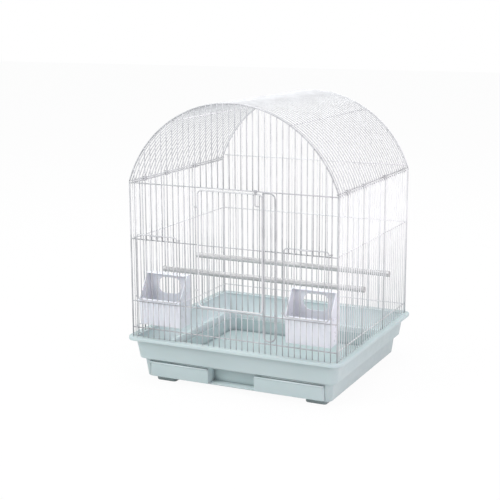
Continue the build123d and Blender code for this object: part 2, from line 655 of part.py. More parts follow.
# Hooded cups resting with their ledge on the sill rail
CUP_MIDDLE_X = (CUP_INNER_X + CUP_OUTER_X) / 2
CUP_FRONT_Y = FRONT_Y + RAIL_STEP + RAIL_R + SEAT
CUP_LEDGE_Z = SILL_Z + RAIL_R + SEAT


def cup_profile(inset):
    """Corners of a cup's side view: drafted bowl, upright back and sloping hood."""
    top = CUP_HOOD_Z - inset
    front = CUP_FRONT_Y + inset
    back = CUP_BACK_Y - inset
    mouth_z = CUP_LEDGE_Z + CUP_LEDGE
    return [
        (front + CUP_DRAFT, CUP_BOTTOM_Z + inset),
        (back - CUP_DRAFT, CUP_BOTTOM_Z + inset),
        (back, mouth_z),
        (back, top),
        (back - CUP_HOOD_TOP_DEPTH, top),
        (front, mouth_z + inset),
    ]


def hooded_cup(side):
    """Cup with a hood, a filling mouth at the front and a feeding hole at the back."""
    middle_x = side * CUP_MIDDLE_X
    with BuildSketch(Plane.YZ.offset(middle_x)) as shell:
        with BuildLine():
            Polyline(*cup_profile(0), close=True)
        make_face()
    extrude(shell.sketch, amount=CUP_WIDTH / 2, both=True)
    with BuildSketch(Plane.XY.offset(CUP_LEDGE_Z)) as ledge:
        ledge_low = FRONT_Y - WIRE_R
        with Locations((middle_x, (ledge_low + CUP_BACK_Y) / 2)):
            Rectangle(CUP_LEDGE_WIDTH, CUP_BACK_Y - ledge_low)
    extrude(ledge.sketch, amount=CUP_LEDGE)
    with BuildSketch(Plane.YZ.offset(middle_x)) as hollow:
        with BuildLine():
            Polyline(*cup_profile(CUP_WALL), close=True)
        make_face()
    extrude(hollow.sketch, amount=CUP_WIDTH / 2 - CUP_WALL, both=True, mode=Mode.SUBTRACT)
    with BuildSketch(Plane.YZ.offset(middle_x)) as mouth:
        with BuildLine():
            mouth_z = CUP_LEDGE_Z + CUP_LEDGE
            Polyline(
                (CUP_FRONT_Y + CUP_WALL, mouth_z - CUP_LEDGE - 1),
                (CUP_BACK_Y - CUP_WALL - CUP_HOOD_TOP_DEPTH, CUP_HOOD_Z - CUP_WALL),
                (CUP_BACK_Y - CUP_HOOD_TOP_DEPTH - 2 * CUP_WALL, CUP_HOOD_Z + CUP_WALL),
                (FRONT_Y, mouth_z + 3 * CUP_LEDGE),
                (CUP_FRONT_Y + CUP_WALL, mouth_z + 1),
                close=True,
            )
        make_face()
    extrude(mouth.sketch, amount=CUP_WIDTH / 2 - CUP_WALL, both=True, mode=Mode.SUBTRACT)
    with BuildSketch(Plane.XZ.offset(-CUP_BACK_Y)) as hole:
        with Locations((middle_x, (CUP_HOLE_BOTTOM + CUP_HOLE_TOP) / 2)):
            RectangleRounded(CUP_HOLE_WIDTH, CUP_HOLE_TOP - CUP_HOLE_BOTTOM, CUP_HOLE_CORNER)
    extrude(hole.sketch, amount=2 * CUP_WALL, both=True, mode=Mode.SUBTRACT)


with BuildPart() as cup_left:
    hooded_cup(-1)

with BuildPart() as cup_right:
    hooded_cup(1)


def perch(number):
    """Dowel across the cage with a slot in each end that fits over an upright."""
    y = side_y(number)
    wire_radius = HEAVY_R if number in HEAVY_SIDE else WIRE_R
    half = HALF_W + PERCH_PAST_WIRE
    bar((-half, y, PERCH_Z), (1, 0, 0), 2 * half, PERCH_R, PERCH_SIDES)
    slot_start = HALF_W - wire_radius - SEAT
    slot_length = half - slot_start
    for side in (-1, 1):
        with Locations((side * (slot_start + slot_length / 2), y, PERCH_Z)):
            Box(slot_length, 2 * (wire_radius + SEAT), 2 * PERCH_R, mode=Mode.SUBTRACT)


with BuildPart() as perch_front:
    perch(PERCH_UPRIGHTS[0])

with BuildPart() as perch_back:
    perch(PERCH_UPRIGHTS[1])

NODES = {
    "base_tray": base_tray,
    "drawer": drawer,
    "front_frame": front_frame,
    "front_uprights": front_uprights,
    "front_rails": front_rails,
    "front_top_rail": front_top_rail,
    "door_hairpin": door_hairpin,
    "back_frame": back_frame,
    "back_uprights": back_uprights,
    "back_rails": back_rails,
    "left_uprights": left_uprights,
    "left_rails": left_rails,
    "right_uprights": right_uprights,
    "right_rails": right_rails,
    "roof_arches": roof_arches,
    "roof_rails": roof_rails,
    "roof_clips": roof_clips,
    "main_door": main_door,
    "main_door_bars": main_door_bars,
    "door_latch": door_latch,
    "cup_door_left": cup_door_left,
    "cup_door_left_bars": cup_door_left_bars,
    "cup_door_right": cup_door_right,
    "cup_door_right_bars": cup_door_right_bars,
    "cup_left": cup_left,
    "cup_right": cup_right,
    "perch_front": perch_front,
    "perch_back": perch_back,
}

for node_name, builder in NODES.items():
    builder.part.label = node_name
    export_step(builder.part, f"parts/{node_name}.step")
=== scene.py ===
"""Look of a dome-top bird cage: finishes, round wires, welds, studio and camera.

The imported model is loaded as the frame. Its faceted wires and tray are replaced
by smooth pieces of the same size that ride on the same bodies, its other nodes
are shown as they are in procedural finishes, and small welds and trim are added.
"""

import json
import logging
import math
import random
from collections.abc import Iterable, Sequence
from dataclasses import dataclass, field
from enum import Enum

import bmesh
import bpy
from mathutils import Matrix, Vector
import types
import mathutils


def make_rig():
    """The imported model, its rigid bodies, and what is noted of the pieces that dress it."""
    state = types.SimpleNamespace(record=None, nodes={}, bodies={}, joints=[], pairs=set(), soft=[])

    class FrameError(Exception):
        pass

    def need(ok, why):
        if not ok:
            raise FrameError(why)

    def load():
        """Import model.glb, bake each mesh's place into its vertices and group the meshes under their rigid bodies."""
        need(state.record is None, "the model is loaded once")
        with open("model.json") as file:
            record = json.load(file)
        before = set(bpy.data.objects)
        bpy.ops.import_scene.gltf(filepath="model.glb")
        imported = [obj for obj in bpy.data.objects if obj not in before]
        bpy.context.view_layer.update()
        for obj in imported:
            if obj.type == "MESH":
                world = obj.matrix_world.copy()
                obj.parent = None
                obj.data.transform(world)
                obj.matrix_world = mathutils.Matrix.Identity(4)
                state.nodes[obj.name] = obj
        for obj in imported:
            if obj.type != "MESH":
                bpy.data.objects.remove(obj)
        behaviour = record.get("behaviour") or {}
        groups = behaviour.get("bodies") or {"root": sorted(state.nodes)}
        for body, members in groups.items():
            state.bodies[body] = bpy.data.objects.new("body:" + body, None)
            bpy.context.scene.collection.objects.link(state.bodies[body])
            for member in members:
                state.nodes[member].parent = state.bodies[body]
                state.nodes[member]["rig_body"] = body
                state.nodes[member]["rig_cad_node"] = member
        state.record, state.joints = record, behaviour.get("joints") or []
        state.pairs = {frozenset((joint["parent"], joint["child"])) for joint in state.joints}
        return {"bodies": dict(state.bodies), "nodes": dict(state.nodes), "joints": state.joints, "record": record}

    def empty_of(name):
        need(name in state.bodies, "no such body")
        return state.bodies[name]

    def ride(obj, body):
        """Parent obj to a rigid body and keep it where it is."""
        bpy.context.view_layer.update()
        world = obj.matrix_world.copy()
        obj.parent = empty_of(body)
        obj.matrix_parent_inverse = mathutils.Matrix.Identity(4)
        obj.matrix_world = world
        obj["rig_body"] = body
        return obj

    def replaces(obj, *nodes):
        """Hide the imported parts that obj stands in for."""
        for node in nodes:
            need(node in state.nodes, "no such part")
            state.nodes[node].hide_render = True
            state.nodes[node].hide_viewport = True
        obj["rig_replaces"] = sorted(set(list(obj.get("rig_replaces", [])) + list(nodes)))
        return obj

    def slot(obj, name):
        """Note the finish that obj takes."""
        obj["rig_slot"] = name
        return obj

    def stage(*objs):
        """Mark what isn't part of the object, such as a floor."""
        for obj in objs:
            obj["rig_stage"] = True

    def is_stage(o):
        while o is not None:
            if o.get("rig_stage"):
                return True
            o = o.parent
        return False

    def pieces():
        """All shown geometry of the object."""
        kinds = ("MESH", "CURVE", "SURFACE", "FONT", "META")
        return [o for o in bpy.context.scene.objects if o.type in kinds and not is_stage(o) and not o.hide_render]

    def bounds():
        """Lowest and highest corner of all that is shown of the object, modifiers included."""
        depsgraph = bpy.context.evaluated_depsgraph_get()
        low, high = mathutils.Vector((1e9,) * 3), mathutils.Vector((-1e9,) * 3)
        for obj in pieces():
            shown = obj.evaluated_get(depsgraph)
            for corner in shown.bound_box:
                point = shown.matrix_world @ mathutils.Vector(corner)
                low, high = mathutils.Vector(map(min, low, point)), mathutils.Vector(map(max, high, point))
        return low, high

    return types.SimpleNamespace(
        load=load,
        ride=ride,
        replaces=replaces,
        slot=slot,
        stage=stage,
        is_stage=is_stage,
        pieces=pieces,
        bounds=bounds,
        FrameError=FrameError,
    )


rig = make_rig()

LOG = logging.getLogger("bird_cage")

# Sizes of the cage in metres, as in the CAD source.
PITCH = 0.0127
FRONT_GAPS = 36
SIDE_GAPS = 33
HALF_W = FRONT_GAPS * PITCH / 2
HALF_D = SIDE_GAPS * PITCH / 2
WIRE_R = 0.001
RAIL_R = 0.0012
HEAVY_R = 0.0015
FRAME_R = 0.0016
LOW_RAIL_Z = 0.1205
SILL_RAIL_Z = 0.177
MID_RAIL_Z = 0.308
TOP_RAIL_Z = 0.425
RIM_OVERHANG = 0.012
RIM_HALF_X = HALF_W + RIM_OVERHANG
RIM_HALF_Y = HALF_D + RIM_OVERHANG
ARCH_RISE = 0.1655
SPRING_Z = 0.427
ARCH_R = (ARCH_RISE**2 + HALF_W**2) / (2 * ARCH_RISE)
ARCH_CENTRE_Z = SPRING_Z + ARCH_RISE - ARCH_R

Flat = tuple[float, float]
Triple = tuple[float, float, float]
Colour = Triple
Socket = bpy.types.NodeSocket
Material = bpy.types.Material
Object = bpy.types.Object
Mesh = bmesh.types.BMesh

# Rounded wire ends, as shares of the radius, and steps along bends.
END_LIP = 0.3
END_TAPER = 0.8
BEND_STEPS = 8
CORNER_STEPS = 12
FOOT_STEPS = 6
EYE_STEPS = 20
EYE_SIDES = 10
MERGE_DISTANCE = 1e-6

# Range in which most of a noise texture's values lie.
NOISE_LOW = 0.3
NOISE_HIGH = 0.7


class Slot(Enum):
    """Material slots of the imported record."""

    WIRE = "white_wire"
    CLIP = "clip_metal"
    BASE = "base_plastic"
    CUP = "cup_plastic"
    PERCH = "perch_wood"


class Body(Enum):
    """Rigid bodies that a piece can ride on."""

    CAGE = "cage"
    DRAWER = "drawer"
    MAIN_DOOR = "main_door"
    LATCH = "door_latch"
    CUP_LEFT = "cup_door_left"
    CUP_RIGHT = "cup_door_right"


class Axis(Enum):
    """Unit axes of the shared frame."""

    X = (1.0, 0.0, 0.0)
    Y = (0.0, 1.0, 0.0)
    Z = (0.0, 0.0, 1.0)

    @property
    def vector(self) -> Vector:
        """The axis as a vector.

        Returns:
            A new unit vector.
        """
        return Vector(self.value)


class NodeGraph:
    """Small builder around one material's node tree.

    Args:
        name: Name of the material that is made.
    """

    def __init__(self, name: str) -> None:
        self.material = bpy.data.materials.new(name)
        self.material.use_nodes = True
        self.tree = self.material.node_tree
        self.tree.nodes.clear()
        self.output = self.tree.nodes.new("ShaderNodeOutputMaterial")
        self.column = 0

    def add(self, kind: str, **settings: object) -> bpy.types.Node:
        """Adds a node and sets its properties or input defaults.

        Args:
            kind: Blender's name for the node type.
            settings: Property names, or input names with spaces as underscores.

        Returns:
            The new node.
        """
        node = self.tree.nodes.new(kind)
        node.location = (-220 * (self.column % 8), -180 * (self.column // 8))
        self.column += 1
        for key, value in settings.items():
            socket = node.inputs.get(key.replace("_", " "))
            if socket is not None:
                socket.default_value = value
            else:
                setattr(node, key, value)
        return node

    def link(self, source: Socket, target: Socket) -> None:
        """Joins two sockets.

        Args:
            source: Output socket.
            target: Input socket.
        """
        self.tree.links.new(source, target)

    def noise(
        self,
        scale: float,
        detail: float = 4.0,
        stretch: Sequence[float] = (1, 1, 1),
    ) -> Socket:
        """Adds object-space noise.

        Args:
            scale: Features per metre, roughly.
            detail: Octaves of the noise.
            stretch: Scale along each axis before the noise.

        Returns:
            The noise's factor output.
        """
        coords = self.add("ShaderNodeTexCoord")
        mapping = self.add("ShaderNodeMapping", Scale=stretch)
        self.link(coords.outputs["Object"], mapping.inputs["Vector"])
        texture = self.add("ShaderNodeTexNoise", Scale=scale, Detail=detail)
        self.link(mapping.outputs["Vector"], texture.inputs["Vector"])
        return texture.outputs["Fac"]

    def ramp(self, factor: Socket, stops: Iterable[tuple[float, Colour]]) -> Socket:
        """Turns a factor into a colour.

        Args:
            factor: Driving socket.
            stops: Position and linear colour of each stop.

        Returns:
            The ramp's colour output.
        """
        node = self.add("ShaderNodeValToRGB")
        elements = node.color_ramp.elements
        for index, (position, colour) in enumerate(stops):
            element = elements[index] if index < 2 else elements.new(position)
            element.position = position
            element.color = (*colour, 1.0)
        self.link(factor, node.inputs["Fac"])
        return node.outputs["Color"]

    def spread(self, factor: Socket, low: float, high: float) -> Socket:
        """Maps the usual range of noise to another range and clamps it.

        Args:
            factor: Driving socket.
            low: Result at the low end.
            high: Result at the high end.

        Returns:
            The mapped value.
        """
        node = self.add("ShaderNodeMapRange", To_Min=low, To_Max=high)
        node.inputs["From Min"].default_value = NOISE_LOW
        node.inputs["From Max"].default_value = NOISE_HIGH
        self.link(factor, node.inputs["Value"])
        return node.outputs["Result"]

    def bump(self, height: Socket, distance: float, radius: float = 0.0) -> Socket:
        """Adds a bump, over a bevelled normal where a radius is given.

        Args:
            height: Height socket.
            distance: Height of the relief in metres.
            radius: Edge radius in metres, or 0 for none.

        Returns:
            A normal output.
        """
        node = self.add("ShaderNodeBump", Strength=1.0, Distance=distance)
        self.link(height, node.inputs["Height"])
        if radius > 0:
            bevel = self.add("ShaderNodeBevel", samples=4, Radius=radius)
            self.link(bevel.outputs["Normal"], node.inputs["Normal"])
        return node.outputs["Normal"]

    def finish(self, shader: bpy.types.Node, **sources: Socket) -> Material:
        """Joins a shader to its sources and to the material's output.

        Args:
            shader: Last node of the graph.
            sources: Sockets by input name, with spaces as underscores.

        Returns:
            The finished material.
        """
        for name, socket in sources.items():
            self.link(socket, shader.inputs[name.replace("_", " ")])
        self.link(shader.outputs[0], self.output.inputs["Surface"])
        return self.material


def seen_directly(tree: bpy.types.NodeTree) -> Socket:
    """Adds the test for rays that look straight at a surface or the sky.

    Args:
        tree: Node tree that receives the nodes.

    Returns:
        A socket that is 1 for camera, glossy and transmission rays.
    """
    path = tree.nodes.new("ShaderNodeLightPath")
    seen = path.outputs["Is Camera Ray"]
    for kind in ("Is Glossy Ray", "Is Transmission Ray"):
        either = tree.nodes.new("ShaderNodeMath")
        either.operation = "MAXIMUM"
        tree.links.new(seen, either.inputs[0])
        tree.links.new(path.outputs[kind], either.inputs[1])
        seen = either.outputs[0]
    return seen


@dataclass(frozen=True)
class CoatedWire:
    """Glossy coating on drawn wire, a little uneven and duller in places.

    Scales are features per metre, lengths metres.

    Args:
        name: Name of the material.
        light: Colour of the clean coating.
        dull: Colour of the duller patches.
        roughness: Roughness that the streaks vary.
        coat: Weight and roughness of the clear coat.
    """

    name: str
    light: Colour = (0.5, 0.51, 0.525)
    dull: Colour = (0.38, 0.39, 0.405)
    roughness: float = 0.34
    ior: float = 1.5
    coat: Flat = (0.25, 0.12)
    wear_scale: float = 42.0
    streak_scale: float = 260.0
    peel_scale: float = 1400.0
    peel_height: float = 0.00006

    def build(self) -> Material:
        """Builds the material.

        Returns:
            The finished material.
        """
        graph = NodeGraph(self.name)
        shader = graph.add(
            "ShaderNodeBsdfPrincipled",
            IOR=self.ior,
            Coat_Weight=self.coat[0],
            Coat_Roughness=self.coat[1],
        )
        wear = graph.noise(self.wear_scale, 5.0)
        streak = graph.noise(self.streak_scale, 3.0, (1.0, 1.0, 0.2))
        peel = graph.noise(self.peel_scale, 2.0)
        return graph.finish(
            shader,
            Base_Color=graph.ramp(wear, ((0.35, self.dull), (0.62, self.light))),
            Roughness=graph.spread(streak, self.roughness - 0.06, self.roughness + 0.1),
            Normal=graph.bump(peel, self.peel_height),
        )


@dataclass(frozen=True)
class MouldedPlastic:
    """Injection-moulded plastic with a fine grain, softly rounded edges and optional painted shade in corners.

    Scales are features per metre, lengths metres.

    Args:
        name: Name of the material.
        body: Main colour.
        shade: Colour of the flow marks.
        painted_corner_shade: Reach in metres of the shade painted into corners, or 0 for none.
        painted_corner_shade_stops: Painted shade by openness of the corner.
    """

    name: str
    body: Colour
    shade: Colour
    roughness: float = 0.38
    edge_radius: float = 0.0009
    grain: float = 0.00003
    subsurface: float = 0.04
    painted_corner_shade: float = 0.0
    ior: float = 1.49
    scatter_depth: float = 0.004
    flow_scale: float = 6.0
    haze_scale: float = 70.0
    grain_scale: float = 2100.0
    painted_corner_shade_stops: tuple[tuple[float, Colour], ...] = (
        (0.3, (0.4, 0.43, 0.44)),
        (0.78, (1.0, 1.0, 1.0)),
    )

    def build(self) -> Material:
        """Builds the material.

        Returns:
            The finished material.
        """
        graph = NodeGraph(self.name)
        shader = graph.add(
            "ShaderNodeBsdfPrincipled",
            IOR=self.ior,
            Subsurface_Weight=self.subsurface,
            Subsurface_Scale=self.scatter_depth,
        )
        flow = graph.noise(self.flow_scale, 3.0, (1.0, 1.0, 2.5))
        colour = graph.ramp(flow, ((0.3, self.shade), (0.68, self.body)))
        # Painted shade: the colour is darkened where an ambient occlusion test finds the surface closed in, such as
        # under the rim.
        if self.painted_corner_shade > 0:
            occlusion_test = graph.add("ShaderNodeAmbientOcclusion", samples=8, Distance=self.painted_corner_shade)
            painted_shade_colour = graph.ramp(occlusion_test.outputs["AO"], self.painted_corner_shade_stops)
            shade_multiply = graph.add("ShaderNodeMix", data_type="RGBA", blend_type="MULTIPLY")
            shade_multiply.inputs[0].default_value = 1.0
            graph.link(colour, shade_multiply.inputs[6])
            graph.link(painted_shade_colour, shade_multiply.inputs[7])
            colour = shade_multiply.outputs[2]
        haze = graph.noise(self.haze_scale, 4.0)
        grain = graph.noise(self.grain_scale, 2.0)
        return graph.finish(
            shader,
            Base_Color=colour,
            Roughness=graph.spread(haze, self.roughness - 0.05, self.roughness + 0.08),
            Normal=graph.bump(grain, self.grain, self.edge_radius),
        )


@dataclass(frozen=True)
class TurnedDowel:
    """Plain wood with long grain along X and small dark flecks.

    Scales are features per metre, lengths metres.

    Args:
        name: Name of the material.
        early: Pale colour between the grain lines.
        late: Dark colour of the grain lines.
    """

    name: str
    early: Colour = (0.6, 0.605, 0.6)
    late: Colour = (0.4, 0.405, 0.405)
    ior: float = 1.45
    grain_scale: float = 420.0
    grain_height: float = 0.00015
    pore_scale: float = 900.0
    edge_radius: float = 0.0006

    def build(self) -> Material:
        """Builds the material.

        Returns:
            The finished material.
        """
        graph = NodeGraph(self.name)
        shader = graph.add("ShaderNodeBsdfPrincipled", IOR=self.ior)
        grain = graph.noise(self.grain_scale, 6.0, (0.04, 1.0, 1.0))
        pores = graph.noise(self.pore_scale, 3.0, (0.08, 1.0, 1.0))
        return graph.finish(
            shader,
            Base_Color=graph.ramp(grain, ((0.38, self.late), (0.6, self.early))),
            Roughness=graph.spread(pores, 0.5, 0.72),
            Normal=graph.bump(grain, self.grain_height, self.edge_radius),
        )


@dataclass(frozen=True)
class StudioFloor:
    """Pale floor that reads as white to the camera and keeps a faint shadow.

    Args:
        name: Name of the material.
        paper: Colour of the floor.
        mottle: Difference of its darker patches.
        glow: Share of plain white in what the camera sees.
    """

    name: str = "studio_floor"
    paper: Colour = (0.7, 0.7, 0.7)
    mottle: float = 0.01
    glow: float = 0.95

    def build(self) -> Material:
        """Builds the material.

        Returns:
            The finished material.
        """
        graph = NodeGraph(self.name)
        diffuse = graph.add("ShaderNodeBsdfDiffuse", Roughness=0.6)
        tooth = graph.noise(3.0, 2.0)
        darker = tuple(channel - self.mottle for channel in self.paper)
        stops = ((NOISE_LOW, darker), (NOISE_HIGH, self.paper))
        graph.link(graph.ramp(tooth, stops), diffuse.inputs["Color"])
        light = graph.add("ShaderNodeEmission", Strength=1.0, Color=(1, 1, 1, 1))
        share = graph.add("ShaderNodeMath", operation="MULTIPLY")
        share.inputs[1].default_value = self.glow
        graph.link(seen_directly(graph.tree), share.inputs[0])
        mix = graph.add("ShaderNodeMixShader")
        graph.link(share.outputs[0], mix.inputs[0])
        graph.link(diffuse.outputs[0], mix.inputs[1])
        graph.link(light.outputs[0], mix.inputs[2])
        return graph.finish(mix)


@dataclass
class FinishSet:
    """Every finish of the cage.

    Args:
        wire: Coating of the front, the white wire darkened as painted shade.
        clip: Coating of the clips.
        base: Plastic of the base and the drawer, with painted shade in its corners.
        painted_light_wire: Coating of the other walls, the same white wire lightened as painted light.
        painted_shade_roof_wire: Coating of the roof, the heavy uprights and the main door, the same white wire
            darkened less than the front, as painted shade.
        painted_light_plastic: The base plastic lightened as painted light, for the inside of the base and the drawer
            lip.
        cup: Plastic of the cups.
        perch: Wood of the perches.
    """

    # Painted shade: the white wire darkened for the front.
    wire: CoatedWire = CoatedWire("coated_wire")
    clip: CoatedWire = CoatedWire(
        "coated_strip", (0.5, 0.51, 0.52), (0.4, 0.41, 0.42), roughness=0.4
    )
    # Painted shade in the corners of the base and the drawer, such as under the rim.
    base: MouldedPlastic = MouldedPlastic(
        "moulded_base", (0.46, 0.55, 0.555), (0.42, 0.51, 0.515), painted_corner_shade=0.014
    )
    # Painted light: the same white wire lightened for the other walls.
    painted_light_wire: CoatedWire = CoatedWire("coated_wire_painted_light", (0.8, 0.81, 0.82), (0.7, 0.71, 0.72))
    # Painted shade: the same white wire darkened for the roof, the heavy uprights and the main door.
    painted_shade_roof_wire: CoatedWire = CoatedWire("coated_wire_roof_painted_shade", (0.6, 0.615, 0.625), (0.53, 0.54, 0.55))
    # Painted light: the base plastic lightened for the inside of the base and the drawer lip.
    painted_light_plastic: MouldedPlastic = MouldedPlastic(
        "moulded_base_painted_light_plastic", (0.63, 0.72, 0.73), (0.58, 0.67, 0.68)
    )
    cup: MouldedPlastic = MouldedPlastic(
        "moulded_cup", (0.76, 0.785, 0.83), (0.7, 0.725, 0.775), roughness=0.3, edge_radius=0.0006
    )
    perch: TurnedDowel = TurnedDowel("turned_dowel")

    def build(self) -> dict[Slot, Material]:
        """Builds the finish of each slot.

        Returns:
            Materials by slot.
        """
        chosen = {
            Slot.WIRE: self.wire,
            Slot.CLIP: self.clip,
            Slot.BASE: self.base,
            Slot.CUP: self.cup,
            Slot.PERCH: self.perch,
        }
        return {slot: finish.build() for slot, finish in chosen.items()}


@dataclass
class CarriedNodes:
    """CAD nodes that are shown as they are, in a procedural finish.

    Args:
        nodes: CAD objects by name.
        slots: Slot value of each node.
    """

    nodes: dict[str, Object]
    slots: dict[str, str]

    def build(self, finishes: dict[Slot, Material]) -> int:
        """Puts the finishes in the nodes' slots.

        Args:
            finishes: Materials by slot.

        Returns:
            The number of nodes dressed.
        """
        for name, obj in self.nodes.items():
            material = finishes[Slot(self.slots[name])]
            if not obj.material_slots:
                obj.data.materials.append(material)
            for material_slot in obj.material_slots:
                material_slot.material = material
        return len(self.nodes)


def place(name: str, data: bpy.types.ID) -> Object:
    """Puts an object into the scene.

    Args:
        name: Name of the object.
        data: Its mesh, lamp or camera.

    Returns:
        The new object.
    """
    obj = bpy.data.objects.new(name, data)
    bpy.context.scene.collection.objects.link(obj)
    return obj


def place_mesh(name: str, mesh: Mesh) -> Object:
    """Puts a mesh into the scene.

    Args:
        name: Name of the object.
        mesh: Its geometry, which is freed.

    Returns:
        The new object.
    """
    data = bpy.data.meshes.new(name)
    mesh.to_mesh(data)
    mesh.free()
    return place(name, data)


class PieceMaker:
    """Makes mesh pieces in the shared frame."""

    @staticmethod
    def bead(mesh: Mesh, at: Vector, size: Vector) -> None:
        """Adds one flattened bead.

        Args:
            mesh: Mesh that receives the bead.
            at: Centre of the bead.
            size: Half sizes along X, Y and Z.
        """
        matrix = Matrix.Translation(at) @ Matrix.Diagonal((*size, 1.0))
        bmesh.ops.create_icosphere(mesh, subdivisions=1, radius=1.0, matrix=matrix)

    @staticmethod
    def piece(
        name: str,
        mesh: Mesh,
        material: Material,
        body: Body = Body.CAGE,
        slot: Slot = Slot.WIRE,
    ) -> Object:
        """Turns a mesh into a named piece that rides on a body.

        Args:
            name: Name of the piece.
            mesh: Its geometry, which is freed.
            material: Its finish.
            body: Body that carries it.
            slot: Record slot that the finish stands for.

        Returns:
            The new object.
        """
        obj = place_mesh(name, mesh)
        for polygon in obj.data.polygons:
            polygon.use_smooth = True
        obj.data.materials.append(material)
        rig.slot(obj, slot.value)
        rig.ride(obj, body.value)
        return obj


@dataclass(frozen=True)
class Island:
    """Bounds of one connected solid inside a CAD node.

    Args:
        low: Lowest corner in metres.
        high: Highest corner in metres.
    """

    low: Vector
    high: Vector

    @property
    def size(self) -> Vector:
        """Side lengths of the bounds.

        Returns:
            Lengths along X, Y and Z.
        """
        return self.high - self.low

    @property
    def middle(self) -> Vector:
        """Centre of the bounds.

        Returns:
            The middle point.
        """
        return (self.low + self.high) / 2

    @staticmethod
    def find(obj: Object) -> list["Island"]:
        """Splits a node's mesh into its connected solids.

        Args:
            obj: CAD node, which isn't changed.

        Returns:
            One island for each solid, in the order of its first vertex.
        """
        mesh = bmesh.new()
        mesh.from_mesh(obj.data)
        bmesh.ops.remove_doubles(mesh, verts=mesh.verts, dist=MERGE_DISTANCE)
        mesh.verts.ensure_lookup_table()
        seen: set[int] = set()
        islands = []
        for start in mesh.verts:
            if start.index in seen:
                continue
            stack = [start]
            seen.add(start.index)
            low = start.co.copy()
            high = start.co.copy()
            while stack:
                vertex = stack.pop()
                for axis in range(3):
                    low[axis] = min(low[axis], vertex.co[axis])
                    high[axis] = max(high[axis], vertex.co[axis])
                for edge in vertex.link_edges:
                    other = edge.other_vert(vertex)
                    if other.index not in seen:
                        seen.add(other.index)
                        stack.append(other)
            islands.append(Island(low, high))
        mesh.free()
        return islands


def join_rings(
    mesh: Mesh,
    outlines: Iterable[Sequence[Vector]],
    closed: bool = False,
) -> None:
    """Joins outlines one after another, with a cap at either end.

    Args:
        mesh: Mesh that receives the skin.
        outlines: Outlines with the same number of points.
        closed: Whether the last outline joins the first instead.
    """
    rings = [[mesh.verts.new(point) for point in outline] for outline in outlines]
    pairs = list(zip(rings, rings[1:]))
    if closed:
        pairs.append((rings[-1], rings[0]))
    for first, second in pairs:
        for index in range(len(first)):
            after = (index + 1) % len(first)
            mesh.faces.new((first[index], first[after], second[after], second[index]))
    if not closed:
        mesh.faces.new(tuple(reversed(rings[0])))
        mesh.faces.new(tuple(rings[-1]))


class Tube:
    """Round tube swept along a list of points."""

    @staticmethod
    def sweep(
        mesh: Mesh,
        path: Sequence[Vector],
        radius: float,
        side: Vector,
        closed: bool = False,
        sides: int = 12,
    ) -> None:
        """Adds a tube to a mesh.

        Args:
            mesh: Mesh that receives the tube.
            path: Centre points of the wire.
            radius: Wire radius in metres.
            side: Direction square to the whole path.
            closed: Whether the last point joins the first.
            sides: Number of sides of the section.
        """
        count = len(path)
        angles = [2 * math.pi * step / sides for step in range(sides)]
        outlines = []
        for index, point in enumerate(path):
            before = path[index - 1] if index or closed else point
            last = index == count - 1 and not closed
            after = point if last else path[(index + 1) % count]
            tangent = (after - before).normalized()
            outward = tangent.cross(side).normalized()
            spokes = (outward * math.cos(angle) + side * math.sin(angle) for angle in angles)
            outlines.append([point + radius * spoke for spoke in spokes])
        join_rings(mesh, outlines, closed)

    @staticmethod
    def bar(mesh: Mesh, low: Vector, high: Vector, radius: float) -> None:
        """Adds a straight wire with slightly rounded ends.

        Args:
            mesh: Mesh that receives the wire.
            low: One end.
            high: The other end.
            radius: Wire radius in metres.
        """
        along = (high - low).normalized()
        side = Axis.Y.vector if abs(along.y) < 0.5 else Axis.X.vector
        lip = along * radius * END_LIP
        Tube.sweep(mesh, [low + lip, high - lip], radius, side)
        for start, end in ((low, low + lip), (high, high - lip)):
            Tube.sweep(mesh, [start, end], radius * END_TAPER, side)


